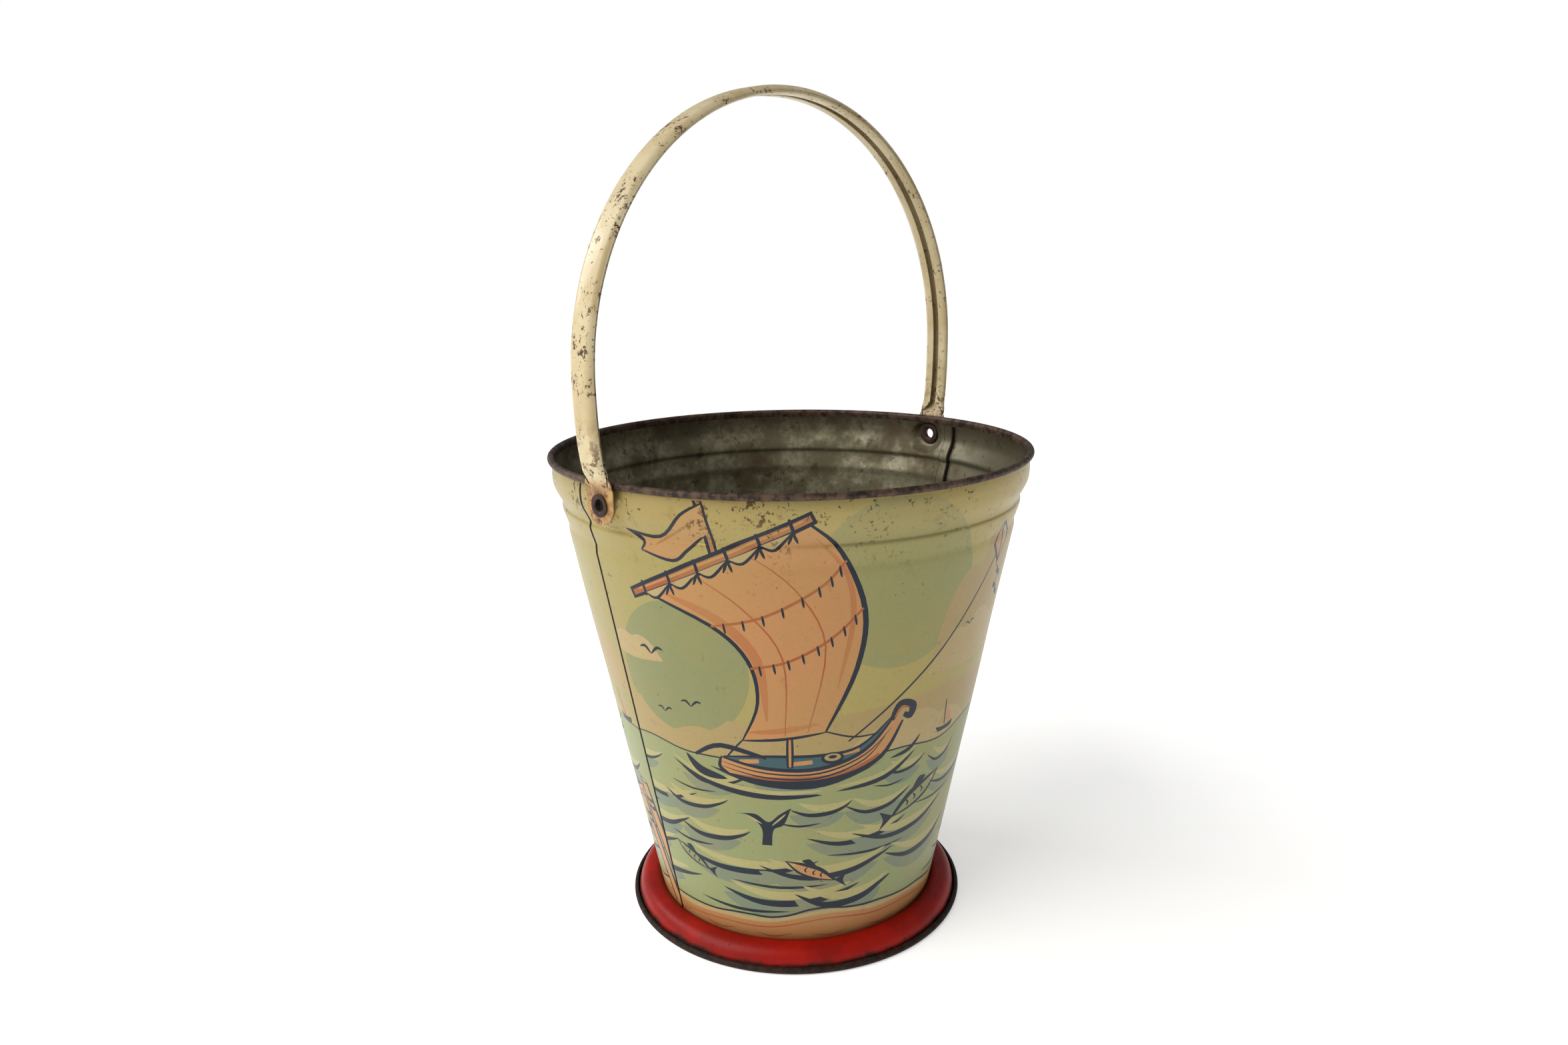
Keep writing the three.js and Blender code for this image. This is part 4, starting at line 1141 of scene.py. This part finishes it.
# %% Draw the lighthouse side
def draw_lighthouse(picture):
    """A banded tower on a rock. Its own origin is at the middle of the tower's foot."""
    rock = [(-30, -12), (-24, 2), (-12, 5), (-4, 9), (9, 8), (19, 2), (31, -3), (36, -13)]
    picture.shape("coral_deep", rock, [rock[-1], rock[0]])
    for x in (-21, -9, 4, 17):
        picture.brush("navy", [(x, 4.4), (x + 3.4, -2), (x + 1, -9)], 1.0)
    picture.brush("navy", rock, 1.7, 0.5)
    tower = [(-7.6, 8), (-5.0, 66), (5.0, 66), (7.6, 8)]
    picture.shape("cloud", *straight_edges(tower))
    for low, high in ((14, 25), (36, 47), (57, 66)):
        left, right = -7.6 + 2.6 * (low - 8) / 58, -7.6 + 2.6 * (high - 8) / 58
        band = [(left, low), (right, high), (-right, high), (-left, low)]
        picture.shape("coral", *straight_edges(band))
    picture.brush("navy", tower[:2], 1.1, 0.8)
    picture.brush("navy", tower[2:], 1.8, 0.8)
    for x, z in ((0, 30), (0, 52)):
        picture.disc("navy", x, z, 1.4, 2.3, 20)
    picture.brush("navy", [(-9, 66.5), (9, 66.5)], 2.2, 0.9)
    picture.shape("haze", [(-4, 68), (-4, 76)], [(-4, 76), (4, 76)], [(4, 76), (4, 68)], [(4, 68), (-4, 68)])
    for x in (-4, 0, 4):
        picture.brush("navy", [(x, 67.6), (x, 76.4)], 0.8, 0.9)
    picture.shape("coral_deep", [(-6, 76), (0, 83)], [(0, 83), (6, 76)], [(6, 76), (-6, 76)])
    picture.brush("navy", [(-6, 76), (0, 83), (6, 76)], 1.0, 0.6)
    picture.brush("haze", [(7, 72), (24, 76), (42, 75)], 4.5, 0.1)
    picture.brush("haze", [(-7, 72), (-24, 76), (-42, 75)], 4.5, 0.1)


REAR_MERIDIAN = 82
rear = Picture(REAR_MERIDIAN)
rear.disc("disc", 44, 128, 30)
rear.disc("far_disc", 44, 128, 25)
rear.disc("disc", -78, 140, 24)
draw_cloud(rear, "haze", -66, 108, 76, 30, 4)
draw_cloud(rear, "cloud", -44, 103, 52, 15, 3)
draw_cloud(rear, "haze", 84, 100, 70, 32, 4)
draw_cloud(rear, "cloud", 66, 84, 58, 14, 3)
draw_cloud(rear, "haze", -2, 84, 66, 16, 3)
draw_cloud(rear, "cloud", 12, 146, 44, 11, 3)
draw_sea(rear, -130, 130, SEA_LEVEL)
rear.placed(-20, 79)
draw_lighthouse(rear)
rear.placed(58, 80, 0.62)
draw_boat(rear)
rear.placed(0, 0)
for x, size in ((-86, 1.2), (-64, 0.85), (22, 0.9), (98, 1.1)):
    draw_far_boat(rear, x, SEA_LEVEL + 1.5, size)
for x, z, span in ((-48, 132, 10), (-40, 141, 7), (10, 128, 8), (86, 143, 11), (98, 150, 7), (-96, 122, 8)):
    draw_gull(rear, x, z, span)
draw_fish(rear, -52, 58, 1.1, 1, "coral")
draw_fish(rear, 12, 44, 1.0, -1)
draw_fish(rear, 78, 52, 0.9, 1, "coral")
draw_beach(rear, -130, 130)
draw_post(rear, 83, 8, 52)
draw_post(rear, 91, 8, 60)
print(len(rear.areas), "printed areas on the rear panel")

# %% Make both panels
front_tin = make_panel("front_tin", front.areas, -1)
rear_tin = make_panel("rear_tin", rear.areas, 1)
for piece, node in ((front_tin, "front_panel"), (rear_tin, "rear_panel")):
    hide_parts(node)
    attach(piece, "bucket")

# %% [markdown]
# ## Foot ring and bottom plate
# The foot is spun from one disc: a channel that grips the lower edges of the wall and plate, a soft crown,
# and an edge rolled under. The plate is pressed with two shallow rings that stop it drumming.
# Both are round, so each is an outline turned about the upright axis.


# %% Turned pieces
def turned_piece(name, outline, columns, finish, axis="Z", flat_ends=()):
    """A mesh from a closed outline of (radius, height) that is turned about an axis."""
    outline = np.array(outline, float)
    turn = 2 * math.pi * np.arange(columns) / columns
    rings = [np.stack([r * np.cos(turn), r * np.sin(turn), z + 0 * turn], axis=-1) for r, z in outline]
    points = np.vstack(rings)
    if axis == "X":
        points = points[:, [2, 0, 1]]
    count = len(outline)
    faces = []
    for i in range(count):
        j = (i + 1) % count
        for k in range(columns):
            m = (k + 1) % columns
            faces.append((i * columns + k, i * columns + m, j * columns + m, j * columns + k))
    mesh = bpy.data.meshes.new(name)
    mesh.from_pydata((points * METRES).tolist(), [], faces)
    work = bmesh.new()
    work.from_mesh(mesh)
    bmesh.ops.remove_doubles(work, verts=work.verts, dist=1e-7)
    bmesh.ops.recalc_face_normals(work, faces=work.faces)
    for face in work.faces:
        face.smooth = True
    for edge in work.edges:
        edge.smooth = len(edge.link_faces) == 2 and edge.calc_face_angle(0) < math.radians(40)
    work.to_mesh(mesh)
    work.free()
    mesh.materials.append(finish)
    piece = bpy.data.objects.new(name, mesh)
    bpy.context.scene.collection.objects.link(piece)
    print(name, len(mesh.polygons), "faces")
    return piece


def sheet_outline(points, thickness):
    """The closed outline of a sheet whose painted face follows the points."""
    return np.vstack([points, beside(points, thickness)[::-1]])


# %% Make the foot ring
def wall_outside(height):
    return WALL_FOOT_RADIUS + WALL_SLOPE * height


CHANNEL_FLOOR, CHANNEL_LEG = 1.95, 3.0
FOOT_ROLL = 1.2
roll_inside = FOOT_ROLL - SHEET
CROWN_START, CROWN_END, CROWN_ROUNDING = 1.1, 2.6, 4.6  # from the wall, from the roll, and its curve
COLLAR_DROP = 0.9  # crown down to where the foot leaves the wall
foot_roll = arc((FOOT_RADIUS - FOOT_ROLL, FOOT_ROLL), roll_inside, 192, 270, 18)
channel_heights = (CHANNEL_FLOOR + CHANNEL_LEG, CHANNEL_FLOOR)
plate_inside = [wall_outside(height) - 2 * SHEET - FIT_GAP - FIT_GAP for height in channel_heights]
crown_line = [
    (wall_outside(FOOT_HEIGHT) + FIT_GAP + CROWN_START, FOOT_HEIGHT),
    (FOOT_RADIUS - FOOT_ROLL - CROWN_END, FOOT_HEIGHT),
    foot_roll[0] + (-0.02, 0.7),
]
crown_line = softened(crown_line, (CROWN_ROUNDING,), 12)
foot_face = [
    *zip(plate_inside, channel_heights),
    (wall_outside(CHANNEL_FLOOR) + FIT_GAP, CHANNEL_FLOOR),
    (wall_outside(FOOT_HEIGHT - COLLAR_DROP) + FIT_GAP, FOOT_HEIGHT - COLLAR_DROP),
]
foot_face = np.vstack([foot_face, crown_line, foot_roll])
foot = turned_piece("red_foot", sheet_outline(foot_face, -SHEET), 160, foot_red)
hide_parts("foot_ring")
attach(foot, "bucket")

# %% Make the bottom plate
plate_edge = wall_outside(PLATE_TOP) - SHEET - FIT_GAP
plate_face = [(0.05, PLATE_TOP - 0.25)]
for ring in (16.0, 34.0):
    plate_face += [(ring - 2.2, PLATE_TOP - 0.25), (ring, PLATE_TOP - 0.02), (ring + 2.2, PLATE_TOP - 0.25)]
plate_face += [(plate_edge - 5, PLATE_TOP - 0.25), (plate_edge - 2.6, PLATE_TOP)]
flange = [(plate_edge, PLATE_TOP), (wall_outside(panel_low.z) - SHEET - FIT_GAP, panel_low.z)]
plate_face = softened(plate_face + flange, [1.0] * (len(plate_face) - 1) + [1.0], 4)
plate = turned_piece("pressed_plate", sheet_outline(plate_face, -SHEET), 120, tin_inside)
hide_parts("bottom_plate")
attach(plate, "bucket")

# %% [markdown]
# ## Handle
# The handle is one strip. Its two ends stay flat and are cut round as ears, and between them the strip
# is curled to a half-round strap whose edges nearly meet on the inside, which makes thin tin stiff and
# kind to the hand. It is modelled as that strip: a flat outline with round ends and two holes is
# filled with faces, and every point is then carried to its place in the curl and along the arch.

# %% Sizes of the handle
_, handle_high = box_mm("handle")
EAR_RADIUS, EAR_SHEET = 6.7, 0.45
EAR_MIDDLE = SEAT_PLANE + FIT_GAP + 0.25
EAR_RISE, EAR_BLEND, EAR_SWELL = 5.0, 9.0, 0.2
STRAP_WIDTH, STRAP_DEPTH, STRAP_SLOT = 10.5, 3.2, 2.8
LEG = 40.0
ARCH_HALF = handle_high.x - STRAP_DEPTH / 2
ARCH_TOP = handle_high.z - HINGE_HEIGHT - STRAP_DEPTH / 2

bezier = [(EAR_MIDDLE, EAR_RISE), (EAR_MIDDLE + 1.2, EAR_RISE + 4), (ARCH_HALF, LEG * 0.35), (ARCH_HALF, LEG)]
bezier = np.array(bezier)
share = (np.arange(41) / 40)[:, None]
bend_line = bezier[0] * (1 - share) ** 3 + 3 * bezier[1] * share * (1 - share) ** 2
bend_line = bend_line + 3 * bezier[2] * share**2 * (1 - share) + bezier[3] * share**3
quarter = np.radians(np.linspace(0, 90, 91))[:, None]
arch_line = np.hstack([ARCH_HALF * np.cos(quarter), LEG + (ARCH_TOP - LEG) * np.sin(quarter)])
half_line = np.vstack([[(EAR_MIDDLE, -EAR_RADIUS), (EAR_MIDDLE, 0)], bend_line, arch_line[1:]])
middle_line = np.vstack([half_line, (half_line[:-1] * (-1, 1))[::-1]])
middle_path = np.concatenate([[0], np.cumsum(np.linalg.norm(np.diff(middle_line, axis=0), axis=1))])
middle_inward = beside(middle_line, 1) - middle_line
middle_inward /= np.linalg.norm(middle_inward, axis=1)[:, None]
STRIP_LENGTH = middle_path[-1]
print(f"the strip's middle line is {STRIP_LENGTH:.1f} mm long")

# %% The curl across the strap
strap_half = (STRAP_WIDTH - EAR_SHEET) / 2
strap_deep = STRAP_DEPTH - EAR_SHEET
curl_side = [(-STRAP_SLOT / 2, strap_deep), (-strap_half, strap_deep), (-strap_half, 0), (0, 0)]
curl_side = softened(curl_side, (1.3, 2.5), 8)
curl_section = np.vstack([curl_side, (curl_side[:-1] * (-1, 1))[::-1]]) - (0, strap_deep / 2)
curl_path = np.concatenate([[0], np.cumsum(np.linalg.norm(np.diff(curl_section, axis=0), axis=1))])
curl_path = curl_path / curl_path[-1] * 2 - 1
curl_out = beside(curl_section, -1) - curl_section


def handle_places(across, path, side):
    """Places on the strip. across runs from -1 to 1 and side is the distance out from its middle."""
    along_strip = (*middle_line.T, *middle_inward.T)
    x, up, in_x, in_up = [np.interp(path, middle_path, column) for column in along_strip]
    share = smoothstep(up, EAR_RISE, EAR_RISE + EAR_BLEND)
    section = [np.interp(across, curl_path, column) for column in (*curl_section.T, *curl_out.T)]
    flat = (across * EAR_RADIUS, 0 * across, 0 * across, -1 + 0 * across)
    wide, deep, turn_wide, turn_deep = [a * (1 - share) + b * share for a, b in zip(flat, section)]
    wide = wide * (1 + EAR_SWELL * 4 * share * (1 - share))
    length = np.hypot(turn_wide, turn_deep)
    wide, deep = wide + side * turn_wide / length, deep + side * turn_deep / length
    return np.stack([x + in_x * deep, wide, HINGE_HEIGHT + up + in_up * deep], axis=-1)


# %% Make the handle
def make_handle():
    """The strip, filled with faces while it is flat: across it from -1 to 1, times the ear's radius."""
    ends = (EAR_RADIUS, STRIP_LENGTH - EAR_RADIUS)
    # Close rows near the ears, where the strip starts to curl, and wider ones along the arch.
    near, past, close_rows, arch_rows = 22, 24, 26, 150
    rows = np.concatenate([
        np.linspace(ends[0], ends[0] + near, close_rows),
        np.linspace(ends[0] + past, ends[1] - past, arch_rows),
        np.linspace(ends[1] - near, ends[1], close_rows),
    ])
    columns = np.linspace(-1, 1, 29) * EAR_RADIUS
    low_end = arc((0, ends[0]), EAR_RADIUS, 180, 180, 24)
    high_end = arc((0, ends[1]), EAR_RADIUS, 0, 180, 24)
    right_side = [(EAR_RADIUS, r) for r in rows[1:-1]]
    left_side = [(-EAR_RADIUS, r) for r in rows[-2:0:-1]]
    edge = np.vstack([low_end, right_side, high_end, left_side])
    holes = [arc((0, end), HOLE_RADIUS + 0.1, 0, 360, 28)[:-1] for end in ends]
    points, loops = [], []
    for outline in (edge, *holes):
        loops.append(list(range(len(points), len(points) + len(outline))))
        points += [tuple(p) for p in outline]
    for row in rows:
        for column in columns[1:-1]:
            if min(math.hypot(column, row - end) for end in ends) > HOLE_RADIUS + 0.5:
                points.append((column, row))
    for end, start in zip(ends, (180, 0)):
        for radius in (3.6, 4.6, 5.6, 6.2):
            points += [tuple(p) for p in arc((0, end), radius, start + 6, 168, 14)]
    made = delaunay_2d_cdt([Vector(p) for p in points], [], loops, 0, 1e-5, True)
    places = np.array([tuple(p) for p in made[0]])
    kept = [face for face, ids in zip(made[2], made[5]) if ids == [0]]
    used = sorted({v for face in kept for v in face})
    renumbered = {old: new for new, old in enumerate(used)}
    faces = [tuple(renumbered[v] for v in face) for face in kept]
    across, path = places[used][:, 0] / EAR_RADIUS, places[used][:, 1]
    sides = [handle_places(across, path, side * EAR_SHEET / 2) for side in (1, -1)]
    cream = [handle_cream] * len(faces)
    return sheet_piece("strap_handle", *sides, faces, cream, cream, handle_cream)


handle = make_handle()
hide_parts("handle")
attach(handle, "handle")
print("handle", len(handle.data.polygons), "faces")

# %% [markdown]
# ## Eyelets and rim wire
# Two tubular eyelets hold the ears to the wall. A punch rolls each end of the little tube over, so its
# flanges are round-edged. The wire that the rim is rolled round keeps its own solid and only gets a finish.

# %% Make the eyelets
BORE = 2.0
OUTER_FLANGE, INNER_FLANGE = 3.9, 4.3
lip = 0.2
barrel = BORE + 0.4
inside_end, outside_end = eyelet_low.x, eyelet_high.x
eyelet_outline = np.vstack([
    arc((BORE + 0.55, outside_end - 0.55), 0.55, 180, -90, 6),
    arc((OUTER_FLANGE - lip, outside_end - lip), lip, 90, -180, 8),
    [(barrel, outside_end - 2 * lip), (barrel, inside_end + 2 * lip)],
    arc((INNER_FLANGE - lip, inside_end + lip), lip, 90, -180, 8),
    arc((BORE + 0.55, inside_end + 0.55), 0.55, 270, -90, 6),
])
for side, name in ((1, "right_eyelet"), (-1, "left_eyelet")):
    eyelet = turned_piece(name + "_rolled", eyelet_outline, 40, eyelet_rust, axis="X")
    spin_eyelet = Matrix.Rotation(0 if side == 1 else math.pi, 4, "Z")
    eyelet.data.transform(Matrix.Translation((0, 0, HINGE_HEIGHT * METRES)) @ spin_eyelet)
    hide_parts(name)
    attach(eyelet, "bucket")

# %% Finish the rim wire
wire = frame["nodes"]["rim_wire"]
wire.data.materials.clear()
wire.data.materials.append(wire_steel)

# %% [markdown]
# ## Floor
# A plain pale floor, large enough that its edge isn't seen from above.

# %% Make the floor
floor_finish, tree, shader, places = new_finish("matt_white_board")
shade = weathered(tree, places, linear("#FBFBFB"), [("#F8F8F7", 1.0, 60, 0.35, 0.65, 1.0)])
tree.links.new(shade, shader.inputs["Base Color"])
shader.inputs["Roughness"].default_value = 0.75
shader.inputs["Emission Color"].default_value = (1, 1, 1, 1)
shader.inputs["Emission Strength"].default_value = 0.44
floor_mesh = bpy.data.meshes.new("floor")
floor_mesh.from_pydata([(-9, -9, 0), (9, -9, 0), (9, 9, 0), (-9, 9, 0)], [], [(0, 1, 2, 3)])
floor_mesh.materials.append(floor_finish)
floor = bpy.data.objects.new("floor", floor_mesh)
bpy.context.scene.collection.objects.link(floor)
